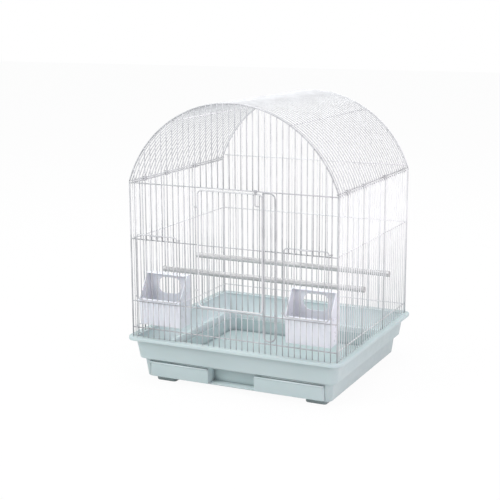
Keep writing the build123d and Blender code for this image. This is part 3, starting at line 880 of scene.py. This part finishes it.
@dataclass
class RoundWires:
    """Round wires that stand for the faceted straight wires of CAD nodes.

    Args:
        nodes: CAD objects by name.
        finish: Coating of the front and of every door, the white wire darkened as painted shade.
        painted_light: Coating of the other walls, the same white wire lightened as painted light.
        middle: Coating of the heavy uprights in the other walls, the same white wire darkened as painted shade.
        heavy_radius: Radius above which a wire of those walls is heavy.
        carriers: CAD nodes of straight wires, and the body of each.
    """

    nodes: dict[str, Object]
    finish: Material
    painted_light: Material
    middle: Material
    heavy_radius: float = 0.00135
    carriers: tuple[tuple[str, Body], ...] = (
        ("front_uprights", Body.CAGE),
        ("front_rails", Body.CAGE),
        ("front_top_rail", Body.CAGE),
        ("back_uprights", Body.CAGE),
        ("back_rails", Body.CAGE),
        ("left_uprights", Body.CAGE),
        ("left_rails", Body.CAGE),
        ("right_uprights", Body.CAGE),
        ("right_rails", Body.CAGE),
        ("roof_rails", Body.CAGE),
        ("main_door_bars", Body.MAIN_DOOR),
        ("cup_door_left_bars", Body.CUP_LEFT),
        ("cup_door_right_bars", Body.CUP_RIGHT),
    )

    @staticmethod
    def radius(island: Island) -> float:
        """Radius of the straight wire that an island bounds.

        Args:
            island: Bounds of the wire.

        Returns:
            Half of the middle one of its three lengths.
        """
        return sorted(island.size)[1] / 2

    @staticmethod
    def add_straight(mesh: Mesh, island: Island) -> None:
        """Adds the round wire that fills one straight island's bounds.

        Args:
            mesh: Mesh that receives the wire.
            island: Bounds of the wire.
        """
        size = island.size
        axis = max(range(3), key=lambda index: size[index])
        radius = RoundWires.radius(island)
        low = island.middle.copy()
        high = island.middle.copy()
        low[axis] = island.low[axis]
        high[axis] = island.high[axis]
        Tube.bar(mesh, low, high, radius)

    def build(self) -> list[Object]:
        """Builds one piece for each node.

        Returns:
            The wire pieces.
        """
        made = []
        for node, body in self.carriers:
            # Painted light: the plain wires of the walls other than the front take the lightened copy, their heavy
            # uprights a darkened one.
            light = body is Body.CAGE and not node.startswith("front")
            islands = Island.find(self.nodes[node])
            limit = self.heavy_radius if light else math.inf
            heavy = [island for island in islands if self.radius(island) > limit]
            plain = [island for island in islands if self.radius(island) <= limit]
            groups = (
                (f"{node}_round", plain, self.painted_light if light else self.finish),
                (f"{node}_heavy_round", heavy, self.middle),
            )
            for name, members, finish in groups:
                if not members:
                    continue
                mesh = bmesh.new()
                for island in members:
                    self.add_straight(mesh, island)
                piece = PieceMaker.piece(name, mesh, finish, body)
                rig.replaces(piece, node)
                made.append(piece)
        return made


@dataclass
class ArchWires:
    """Smooth arches over the roof and the two arched frames.

    Args:
        nodes: CAD objects by name.
        finish: Coating of the front frame, the white wire darkened as painted shade.
        roof: Coating of the back frame and the roof wires, the same white wire darkened less, as painted shade.
        steps: Spans along one arch.
        crown_drop: How far the crown lies below the true arc.
        end_gap: Height of an arch's ends over the spring line.
        least_span: Width from which a solid counts as an arch.
    """

    nodes: dict[str, Object]
    finish: Material
    roof: Material
    steps: int = 64
    crown_drop: float = 0.0009
    end_gap: float = 0.0004
    least_span: float = 0.1

    def _path(self, y: float) -> list[Vector]:
        """Centre points of one arch.

        Args:
            y: Depth of the arch's plane.

        Returns:
            Points from the right end over the crown to the left end.
        """
        start = math.asin((SPRING_Z + self.end_gap - ARCH_CENTRE_Z) / ARCH_R)
        sweep = math.pi - 2 * start
        points = []
        for step in range(self.steps + 1):
            angle = start + sweep * step / self.steps
            height = ARCH_CENTRE_Z + ARCH_R * math.sin(angle)
            height -= self.crown_drop * (height - SPRING_Z) / ARCH_RISE
            points.append(Vector((ARCH_R * math.cos(angle), y, height)))
        return points

    def build(self) -> list[Object]:
        """Builds the roof wires and both frames.

        Returns:
            The arch pieces.
        """
        made = []
        for node in ("roof_arches", "front_frame", "back_frame"):
            mesh = bmesh.new()
            for island in Island.find(self.nodes[node]):
                if island.size.x > self.least_span:
                    path = self._path(island.middle.y)
                    Tube.sweep(mesh, path, island.size.y / 2, Axis.Y.vector)
                else:
                    RoundWires.add_straight(mesh, island)
            # Painted shade: the front frame takes the darkest copy of the white wire, the back frame and the roof a
            # lighter one.
            finish = self.finish if node == "front_frame" else self.roof
            piece = PieceMaker.piece(f"{node}_round", mesh, finish)
            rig.replaces(piece, node)
            made.append(piece)
        return made


def quarter_bend(centre: Sequence[float], radius: float, quarter: int, steps: int) -> list[Flat]:
    """Points of a quarter circle in a plane.

    Args:
        centre: Centre of the bend.
        radius: Bend radius.
        quarter: Quarter turns from the first axis to the start.
        steps: Spans along the bend.

    Returns:
        The points, turning from the first axis to the second.
    """
    angles = [math.pi / 2 * (quarter + step / steps) for step in range(steps + 1)]
    return [
        (centre[0] + radius * math.cos(angle), centre[1] + radius * math.sin(angle))
        for angle in angles
    ]


def rounded_corners(half: Sequence[float], radius: float, steps: int) -> list[Flat]:
    """Outline of a rounded rectangle about the origin.

    Args:
        half: Half lengths along the two axes.
        radius: Corner radius.
        steps: Spans along each corner.

    Returns:
        The outline's points, turning from the first axis to the second.
    """
    points = []
    for quarter, (first, second) in enumerate(((1, 1), (-1, 1), (-1, -1), (1, -1))):
        centre = (first * (half[0] - radius), second * (half[1] - radius))
        points += quarter_bend(centre, radius, quarter, steps)
    return points


@dataclass(frozen=True)
class Loop:
    """Rounded rectangular loop of wire in a plane of constant Y.

    Args:
        x: Left and right centre lines.
        y: Depth of the plane.
        z: Bottom and top centre lines.
        corner: Bend radius.
        radius: Wire radius.
    """

    x: Flat
    y: float
    z: Flat
    corner: float
    radius: float

    def path(self) -> list[Vector]:
        """Centre points of the closed loop.

        Returns:
            Points against the clock as the front is seen.
        """
        centre = Vector((sum(self.x) / 2, self.y, sum(self.z) / 2))
        half = ((self.x[1] - self.x[0]) / 2, (self.z[1] - self.z[0]) / 2)
        flat = rounded_corners(half, self.corner, BEND_STEPS)
        return [centre + Vector((x, 0.0, z)) for x, z in flat]

    def add_to(self, mesh: Mesh) -> None:
        """Adds the loop to a mesh.

        Args:
            mesh: Mesh that receives the loop.
        """
        Tube.sweep(mesh, self.path(), self.radius, Axis.Y.vector, closed=True)


@dataclass(frozen=True)
class Eye:
    """Wire eye curled around a pin.

    Args:
        radius: Centre-line radius of the curl.
        wire: Wire radius.
        turns: Number of coils side by side.
    """

    radius: float
    wire: float
    turns: int

    def add_to(self, mesh: Mesh, at: Vector, along: Vector) -> None:
        """Adds the eye to a mesh.

        Args:
            mesh: Mesh that receives the eye.
            at: Centre of the eye.
            along: Pin direction.
        """
        first = Axis.Z.vector if abs(along.z) < 0.5 else Axis.X.vector
        second = along.cross(first)
        for turn in range(self.turns):
            shift = along * ((turn - (self.turns - 1) / 2) * 2 * self.wire)
            path = []
            for step in range(EYE_STEPS):
                angle = 2 * math.pi * step / EYE_STEPS
                spoke = first * math.cos(angle) + second * math.sin(angle)
                path.append(at + shift + self.radius * spoke)
            Tube.sweep(mesh, path, self.wire, along, closed=True, sides=EYE_SIDES)


@dataclass
class MainDoor:
    """Loop and hinge eyes of the main door.

    Args:
        finish: Coating of the door.
        post: Hinge post, in gaps from the middle.
        inset: Distance of the loop from the posts.
        arm_start: Distance of an arm's start from the post.
    """

    finish: Material
    post: int = -6
    inset: float = 0.0056
    z: Flat = (0.1814, 0.4192)
    corner: float = 0.009
    hinges: Flat = (0.215, 0.385)
    eye: Eye = Eye(0.00175, 0.00062, 4)
    arm_start: float = 0.0012
    arm_radius: float = 0.0011

    def build(self) -> Object:
        """Builds the door.

        Returns:
            The piece.
        """
        mesh = bmesh.new()
        post = self.post * PITCH
        left = post + self.inset
        Loop((left, -left), -HALF_D, self.z, self.corner, FRAME_R).add_to(mesh)
        for height in self.hinges:
            self.eye.add_to(mesh, Vector((post, -HALF_D, height)), Axis.Z.vector)
            start = Vector((post + self.arm_start, -HALF_D, height))
            Tube.bar(mesh, start, Vector((left, -HALF_D, height)), self.arm_radius)
        piece = PieceMaker.piece("main_door_round", mesh, self.finish, Body.MAIN_DOOR)
        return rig.replaces(piece, "main_door")


@dataclass
class CupDoor:
    """Loop, guide eyes and finger pull of one lift-up door.

    Args:
        finish: Coating of the door.
        side: -1 for the left door, 1 for the right one.
        body: Body that the door is.
        posts: Guiding uprights, in gaps from the cage's corner.
        inset: Distance of the loop from the uprights.
        arm_shift: Distance of an arm behind the loop.
        pull: Half of the finger pull, from its end to its middle.
    """

    finish: Material
    side: int
    body: Body
    posts: tuple[int, int] = (9, 1)
    inset: float = 0.0044
    front: float = 0.0027
    z: Flat = (0.182, 0.319)
    corner: float = 0.006
    guides: Flat = (0.188, 0.313)
    eye: Eye = Eye(0.0017, 0.0006, 3)
    arm_radius: float = 0.0009
    arm_shift: float = 0.0002
    pull: tuple[Flat, ...] = ((0.0127, 0.0), (0.0127, 0.0055), (0.0112, 0.007))

    def build(self) -> Object:
        """Builds the door.

        Returns:
            The piece.
        """
        mesh = bmesh.new()
        inner, outer = (HALF_W - gaps * PITCH for gaps in self.posts)
        edges = (self.side * (inner + self.inset), self.side * (outer - self.inset))
        low, high = sorted(edges)
        y = -HALF_D - self.front
        Loop((low, high), y, self.z, self.corner, RAIL_R).add_to(mesh)
        middle = (low + high) / 2
        bends = [(-x, out) for x, out in self.pull] + list(reversed(self.pull))
        path = [Vector((middle + x, y - out, self.z[1])) for x, out in bends]
        Tube.sweep(mesh, path, WIRE_R, Axis.Z.vector)
        for loop_x, post_x in ((low, low - self.inset), (high, high + self.inset)):
            ends = sorted((loop_x, post_x))
            for height in self.guides:
                self.eye.add_to(mesh, Vector((post_x, -HALF_D, height)), Axis.Z.vector)
                start, end = (Vector((x, y + self.arm_shift, height)) for x in ends)
                Tube.bar(mesh, start, end, self.arm_radius)
        name = self.body.value
        piece = PieceMaker.piece(f"{name}_round", mesh, self.finish, self.body)
        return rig.replaces(piece, name)


@dataclass
class Hairpin:
    """Heavy hairpin beside the door, bridged at its top.

    Args:
        finish: Coating of the hairpin.
        left_top: Height of the left leg's end.
        bridge_gap: Distance of the bridge's end from the left leg.
    """

    finish: Material
    x: Flat = (0.0705, 0.096)
    z: Flat = (0.125, 0.4214)
    bend: float = 0.0115
    left_top: float = 0.423
    bridge_gap: float = 0.0008
    behind: float = 0.0051

    def build(self) -> Object:
        """Builds the hairpin.

        Returns:
            The piece.
        """
        mesh = bmesh.new()
        left, right = self.x[0] + self.bend, self.x[1] - self.bend
        low, high = self.z[0] + self.bend, self.z[1] - self.bend
        flat = [(self.x[0], self.left_top)]
        for quarter, centre in ((2, (left, low)), (3, (right, low)), (0, (right, high))):
            flat += quarter_bend(centre, self.bend, quarter, BEND_STEPS)
        flat.append((self.x[0] + self.bridge_gap, self.z[1]))
        path = [Vector((x, -HALF_D + self.behind, z)) for x, z in flat]
        Tube.sweep(mesh, path, HEAVY_R, Axis.Y.vector)
        piece = PieceMaker.piece("door_hairpin_round", mesh, self.finish)
        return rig.replaces(piece, "door_hairpin")


@dataclass
class Latch:
    """Drop latch with its curled barrel and foot.

    Args:
        finish: Coating of the latch.
        column: Place of the latch, in gaps from the middle.
        leg: Bends of the leg, from the barrel to the foot.
    """

    finish: Material
    column: float = 4.5
    front: float = 0.0023
    barrel: Eye = Eye(0.00225, 0.00095, 3)
    leg_front: float = 0.0011
    leg: tuple[Triple, ...] = (
        (0.0, -0.0008, -0.0012),
        (0.0, 0.0, -0.004),
        (0.0, 0.0, -0.027),
        (0.0008, 0.0, -0.0284),
        (0.0022, 0.0, -0.029),
        (0.0085, 0.0, -0.029),
    )

    def build(self) -> Object:
        """Builds the latch.

        Returns:
            The piece.
        """
        mesh = bmesh.new()
        x, y, z = self.column * PITCH, -HALF_D - self.front, TOP_RAIL_Z
        self.barrel.add_to(mesh, Vector((x, y, z)), Axis.X.vector)
        leg_y = y - self.leg_front
        path = [Vector((x + right, leg_y + back, z + up)) for right, back, up in self.leg]
        Tube.sweep(mesh, path, RAIL_R, Axis.Y.vector)
        piece = PieceMaker.piece("door_latch_round", mesh, self.finish, Body.LATCH)
        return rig.replaces(piece, "door_latch")


@dataclass
class BaseShell:
    """Moulded two-tier base with smooth corners, softened edges and feet, lightened inside as painted light.

    Args:
        finish: Moulded plastic of the outside, with painted shade in corners.
        painted_light_plastic: The same plastic lightened as painted light, for the inside.
        rings: Height, inset and corner of each level, outside first.
        painted_light_below: Height below which upward faces take the painted light.
        foot_levels: Height and growth of a foot's outlines.
        wall_facing: Least sideways share of an inner wall's normal.
        floor_facing: Least upward share of an inner floor's normal.
    """

    finish: Material
    painted_light_plastic: Material
    rings: tuple[Triple, ...] = (
        (0.0120, 0.0334, 0.0106), (0.0124, 0.0325, 0.0115), (0.0135, 0.0319, 0.012),
        (0.0520, 0.0275, 0.012), (0.0530, 0.0268, 0.0127), (0.0530, 0.0188, 0.0172),
        (0.0534, 0.0181, 0.0179), (0.0545, 0.0178, 0.018), (0.0970, 0.0121, 0.018),
        (0.0980, 0.0112, 0.0185), (0.0980, 0.0024, 0.0197), (0.0944, 0.0022, 0.0198),
        (0.0940, 0.0018, 0.0202), (0.0940, 0.0005, 0.0215), (0.0945, 0.0000, 0.022),
        (0.0996, 0.0000, 0.022), (0.1006, 0.0004, 0.0216), (0.1010, 0.0014, 0.0206),
        (0.1010, 0.0162, 0.0058), (0.1007, 0.0168, 0.0052), (0.1000, 0.0170, 0.005),
        (0.0985, 0.0170, 0.005), (0.0980, 0.0166, 0.0054), (0.0980, 0.0148, 0.0152),
        (0.0970, 0.0147, 0.0155), (0.0570, 0.0201, 0.0155), (0.0558, 0.0208, 0.0152),
        (0.0555, 0.0220, 0.0148), (0.0555, 0.0288, 0.0102), (0.0550, 0.0293, 0.0097),
        (0.0540, 0.0295, 0.0095), (0.0150, 0.0342, 0.0095), (0.0145, 0.0350, 0.009),
    )
    painted_light_below: float = 0.09
    slot_half_x: float = 0.1978
    slot_z: Flat = (0.0146, 0.048)
    slot_depth: float = 0.074
    foot_at: Flat = (0.171, 0.160)
    foot_half: Flat = (0.023, 0.015)
    foot_corner: float = 0.007
    foot_levels: tuple[Flat, ...] = (
        (0.0, -0.0012),
        (0.0008, -0.0003),
        (0.002, 0.0),
        (0.0125, 0.0008),
    )
    edge_angle: float = math.radians(38)
    wall_facing: float = 0.2
    floor_facing: float = 0.7

    @staticmethod
    def _outline(z: float, inset: float, corner: float) -> list[Vector]:
        """Outline of the shell at one level, anticlockwise from above.

        Args:
            z: Height.
            inset: Distance in from the edge of the rim.
            corner: Corner radius.

        Returns:
            The points.
        """
        half = (RIM_HALF_X - inset, RIM_HALF_Y - inset)
        return [Vector((x, y, z)) for x, y in rounded_corners(half, corner, CORNER_STEPS)]

    def _cut_slot(self, obj: Object) -> None:
        """Opens the slot for the drawer in the front wall.

        Args:
            obj: Shell, whose mesh is replaced by the cut one.
        """
        cutter_mesh = bmesh.new()
        middle = Vector((0.0, -RIM_HALF_Y, sum(self.slot_z) / 2))
        size = (2 * self.slot_half_x, self.slot_depth, self.slot_z[1] - self.slot_z[0], 1.0)
        matrix = Matrix.Translation(middle) @ Matrix.Diagonal(size)
        bmesh.ops.create_cube(cutter_mesh, size=1.0, matrix=matrix)
        cutter = place_mesh("slot_cutter", cutter_mesh)
        modifier = obj.modifiers.new("slot", "BOOLEAN")
        modifier.operation = "DIFFERENCE"
        modifier.solver = "EXACT"
        modifier.object = cutter
        bpy.context.view_layer.update()
        graph = bpy.context.evaluated_depsgraph_get()
        cut = bpy.data.meshes.new_from_object(obj.evaluated_get(graph))
        obj.modifiers.clear()
        obj.data = cut
        bpy.data.objects.remove(cutter)

    def _paint_light_inside(self, shell: Object) -> None:
        """Gives the plastic lightened as painted light to faces that look inwards, and up below the rim.

        Args:
            shell: Cut shell.
        """
        # Painted light: faces inside the base take the lightened copy of the base plastic.
        shell.data.materials.clear()
        shell.data.materials.append(self.finish)
        shell.data.materials.append(self.painted_light_plastic)
        for polygon in shell.data.polygons:
            at, facing = polygon.center, polygon.normal
            axis = 0 if abs(facing.x) > abs(facing.y) else 1
            inwards = facing[axis] * at[axis] < 0 and abs(facing[axis]) > self.wall_facing
            floor = facing.z > self.floor_facing and at.z < self.painted_light_below
            polygon.material_index = int(inwards or floor)

    def _feet(self, mesh: Mesh) -> None:
        """Adds the four low feet.

        Args:
            mesh: Mesh that receives the feet.
        """
        for side_x in (-1, 1):
            for side_y in (-1, 1):
                at = Vector((side_x * self.foot_at[0], side_y * self.foot_at[1], 0.0))
                outlines = []
                for z, grow in self.foot_levels:
                    half = (self.foot_half[0] + grow, self.foot_half[1] + grow)
                    flat = rounded_corners(half, self.foot_corner + grow, FOOT_STEPS)
                    outlines.append([at + Vector((x, y, z)) for x, y in flat])
                join_rings(mesh, outlines)

    def build(self) -> list[Object]:
        """Builds the shell and its feet.

        Returns:
            The two pieces.
        """
        mesh = bmesh.new()
        join_rings(mesh, [self._outline(*ring) for ring in self.rings])
        bmesh.ops.recalc_face_normals(mesh, faces=mesh.faces)
        shell = PieceMaker.piece("base_shell", mesh, self.finish, slot=Slot.BASE)
        self._cut_slot(shell)
        shell.data.shade_smooth()
        shell.data.set_sharp_from_angle(angle=self.edge_angle)
        self._paint_light_inside(shell)
        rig.replaces(shell, "base_tray")
        mesh = bmesh.new()
        self._feet(mesh)
        feet = PieceMaker.piece("base_feet", mesh, self.finish, slot=Slot.BASE)
        feet.data.set_sharp_from_angle(angle=self.edge_angle)
        return [shell, feet]


@dataclass
class DrawerLip:
    """Rounded lip along the top of the drawer's two front blocks, in a lightened plastic that paints a highlight.

    Args:
        finish: Moulded plastic of the lip, lightened as a painted highlight.
        face_y: Depth of its centre line.
        spans: Left and right end over each block.
    """

    finish: Material
    radius: float = 0.0016
    height: float = 0.0447
    face_y: float = -0.1968
    spans: tuple[Flat, ...] = ((-0.1955, -0.0615), (0.0465, 0.1955))

    def build(self) -> list[Object]:
        """Builds the lip on the drawer.

        Returns:
            The lip piece.
        """
        mesh = bmesh.new()
        for start, end in self.spans:
            low = Vector((start, self.face_y, self.height))
            high = Vector((end, self.face_y, self.height))
            Tube.bar(mesh, low, high, self.radius)
        return [PieceMaker.piece("drawer_lip", mesh, self.finish, Body.DRAWER, Slot.BASE)]


@dataclass
class WeldBeads:
    """Resistance welds where the upright wires cross the rails.

    Args:
        finish: Coating of the welds.
        seed: Seed of the small differences between beads.
        door_columns: Front uprights that don't reach the middle rail.
    """

    finish: Material
    seed: int = 7
    long: float = 0.0013
    short: float = 0.00085
    long_range: Flat = (0.9, 1.12)
    short_range: Flat = (0.85, 1.1)
    door_columns: range = range(13, 24)
    front_inset: float = 0.0011
    side_inset: float = 0.0013

    def _wall(
        self,
        name: str,
        places: Iterable[Vector],
        across: Axis,
        source: random.Random,
    ) -> Object:
        """Builds the beads of one wall.

        Args:
            name: Name of the piece.
            places: Centres of the beads.
            across: Axis square to the wall.
            source: Source of the small differences.

        Returns:
            The piece.
        """
        mesh = bmesh.new()
        for at in places:
            long = self.long * source.uniform(*self.long_range)
            short = self.short * source.uniform(*self.short_range)
            size = (short, long, short) if across is Axis.Y else (long, short, short)
            PieceMaker.bead(mesh, at, Vector(size))
        return PieceMaker.piece(name, mesh, self.finish)

    def build(self) -> list[Object]:
        """Builds one piece of beads for each wall.

        Returns:
            The bead pieces.
        """
        source = random.Random(self.seed)
        y = HALF_D - self.front_inset
        front = [
            Vector((-HALF_W + number * PITCH, -y, height))
            for height in (LOW_RAIL_Z, SILL_RAIL_Z, MID_RAIL_Z)
            for number in range(1, FRONT_GAPS)
            if height != MID_RAIL_Z or number not in self.door_columns
        ]
        back = [
            Vector((-HALF_W + number * PITCH, y, height))
            for height in (LOW_RAIL_Z, MID_RAIL_Z)
            for number in range(1, FRONT_GAPS)
        ]
        made = [
            self._wall("front_welds", front, Axis.Y, source),
            self._wall("back_welds", back, Axis.Y, source),
        ]
        for name, side in (("left_welds", -1), ("right_welds", 1)):
            x = side * (HALF_W - self.side_inset)
            places = [
                Vector((x, -HALF_D + number * PITCH, height))
                for height in (LOW_RAIL_Z, MID_RAIL_Z)
                for number in range(1, SIDE_GAPS)
            ]
            made.append(self._wall(name, places, Axis.X, source))
        return made


@dataclass
class CameraRig:
    """Camera at the photograph's view.

    Args:
        azimuth: Degrees from the front towards the right.
        elevation: Degrees above the floor.
        shift: Lens shift, as shares of the sensor width.
    """

    azimuth: float = 24.646
    elevation: float = 11.764
    distance: float = 2.4165
    target: Triple = (0.0, 0.0, 0.2748)
    lens: float = 81.22
    sensor: float = 36.0
    shift: Flat = (-0.0482, -0.0101)

    def build(self) -> Object:
        """Builds the camera and makes it the scene's.

        Returns:
            The camera object.
        """
        data = bpy.data.cameras.new("photo_camera")
        data.lens = self.lens
        data.sensor_width = self.sensor
        data.sensor_fit = "HORIZONTAL"
        data.shift_x, data.shift_y = self.shift
        data.dof.use_dof = False
        camera = place("photo_camera", data)
        azimuth = math.radians(self.azimuth)
        elevation = math.radians(self.elevation)
        toward = Vector(
            (
                math.sin(azimuth) * math.cos(elevation),
                -math.cos(azimuth) * math.cos(elevation),
                math.sin(elevation),
            )
        )
        camera.location = Vector(self.target) + self.distance * toward
        camera.rotation_euler = (-toward).to_track_quat("-Z", "Y").to_euler()
        bpy.context.scene.camera = camera
        return camera


@dataclass(frozen=True)
class Softbox:
    """One rectangular studio lamp.

    Args:
        name: Name of the lamp.
        at: Place of the lamp in metres.
        size: Width and height in metres.
        watts: Power.
        tint: Colour of the light.
        aim: Point that the lamp is turned to.
    """

    name: str
    at: Triple
    size: Flat
    watts: float
    tint: Colour = (1.0, 1.0, 1.0)
    aim: Triple = (0.0, 0.0, 0.3)

    def build(self) -> Object:
        """Builds the lamp.

        Returns:
            The lamp object.
        """
        data = bpy.data.lights.new(self.name, "AREA")
        data.shape = "RECTANGLE"
        data.size, data.size_y = self.size
        data.energy = self.watts
        data.color = self.tint
        lamp = place(self.name, data)
        lamp.location = self.at
        toward = Vector(self.aim) - Vector(self.at)
        lamp.rotation_euler = toward.to_track_quat("-Z", "Y").to_euler()
        return lamp


@dataclass
class Studio:
    """Floor, world light and softboxes.

    Args:
        ambient: Strength of the world light.
        lamps: The softboxes.
    """

    floor_half: float = 12.0
    ambient: float = 0.8
    sky: Colour = (0.97, 0.985, 1.0)
    lamps: tuple[Softbox, ...] = (
        Softbox("key_softbox", (-1.6, -2.6, 1.9), (1.6, 1.6), 48.0),
        Softbox("fill_softbox", (2.8, -1.0, 1.2), (1.6, 1.8), 34.0, (1.0, 0.82, 0.93)),
        Softbox("top_softbox", (0.1, 0.2, 3.0), (2.2, 2.2), 54.0),
    )

    def _world(self) -> None:
        """Builds a world that is white to the camera and soft light elsewhere."""
        world = bpy.data.worlds.new("studio_world")
        world.use_nodes = True
        tree = world.node_tree
        tree.nodes.clear()
        output = tree.nodes.new("ShaderNodeOutputWorld")
        seen = tree.nodes.new("ShaderNodeBackground")
        seen.inputs["Color"].default_value = (1, 1, 1, 1)
        light = tree.nodes.new("ShaderNodeBackground")
        light.inputs["Color"].default_value = (*self.sky, 1)
        light.inputs["Strength"].default_value = self.ambient
        mix = tree.nodes.new("ShaderNodeMixShader")
        tree.links.new(seen_directly(tree), mix.inputs[0])
        tree.links.new(light.outputs[0], mix.inputs[1])
        tree.links.new(seen.outputs[0], mix.inputs[2])
        tree.links.new(mix.outputs[0], output.inputs["Surface"])
        bpy.context.scene.world = world

    def build(self) -> Object:
        """Builds the studio.

        Returns:
            The floor object.
        """
        self._world()
        mesh = bmesh.new()
        bmesh.ops.create_grid(mesh, x_segments=1, y_segments=1, size=self.floor_half)
        floor = place_mesh("studio_floor", mesh)
        floor.data.materials.append(StudioFloor().build())
        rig.stage(floor)
        for lamp in self.lamps:
            lamp.build()
        return floor


@dataclass
class SizeLog:
    """Keeps the bounds of the CAD and of the visual model.

    Args:
        path: File that the bounds are written to.
        values: Bounds by label.
    """

    path: str = "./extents.json"
    values: dict[str, list[list[float]]] = field(default_factory=dict)

    def measure(self, label: str) -> None:
        """Stores the present bounds under a label.

        Args:
            label: Key of the entry.
        """
        self.values[label] = [list(corner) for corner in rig.bounds()]

    def write(self) -> None:
        """Writes the entries as plain lists."""
        with open(self.path, "w", encoding="utf-8") as handle:
            json.dump(self.values, handle, indent=1)


def main() -> None:
    """Builds the finishes, the pieces, the studio and the camera in order."""
    logging.basicConfig(level=logging.INFO, format="%(name)s: %(message)s")
    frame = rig.load()
    sizes = SizeLog()
    sizes.measure("cad")
    choices = FinishSet()
    finishes = choices.build()
    slots = {entry["node"]: entry["material_slot"] for entry in frame["record"]["subparts"]}
    dressed = CarriedNodes(frame["nodes"], slots).build(finishes)
    LOG.info("dressed %d CAD nodes", dressed)
    wire = finishes[Slot.WIRE]
    # Painted light and shade: lightened and darkened copies of the white wire and of the base plastic.
    painted_light = choices.painted_light_wire.build()
    painted_light_plastic = choices.painted_light_plastic.build()
    roof = choices.painted_shade_roof_wire.build()
    pieces = RoundWires(frame["nodes"], wire, painted_light, roof).build()
    pieces += ArchWires(frame["nodes"], wire, roof).build()
    pieces += [
        # Painted shade: the main door takes the roof's darkened copy of the white wire.
        MainDoor(roof).build(),
        CupDoor(wire, -1, Body.CUP_LEFT).build(),
        CupDoor(wire, 1, Body.CUP_RIGHT).build(),
        Hairpin(wire).build(),
        Latch(wire).build(),
    ]
    pieces += BaseShell(finishes[Slot.BASE], painted_light_plastic).build()
    # Painted highlight: the drawer lip takes the lightened copy of the base plastic.
    pieces += DrawerLip(painted_light_plastic).build()
    pieces += WeldBeads(wire).build()
    LOG.info("made %d pieces", len(pieces))
    Studio().build()
    CameraRig().build()
    bpy.context.scene.view_settings.view_transform = "Standard"
    sizes.measure("visual")
    sizes.write()


if __name__ == "__main__":
    main()
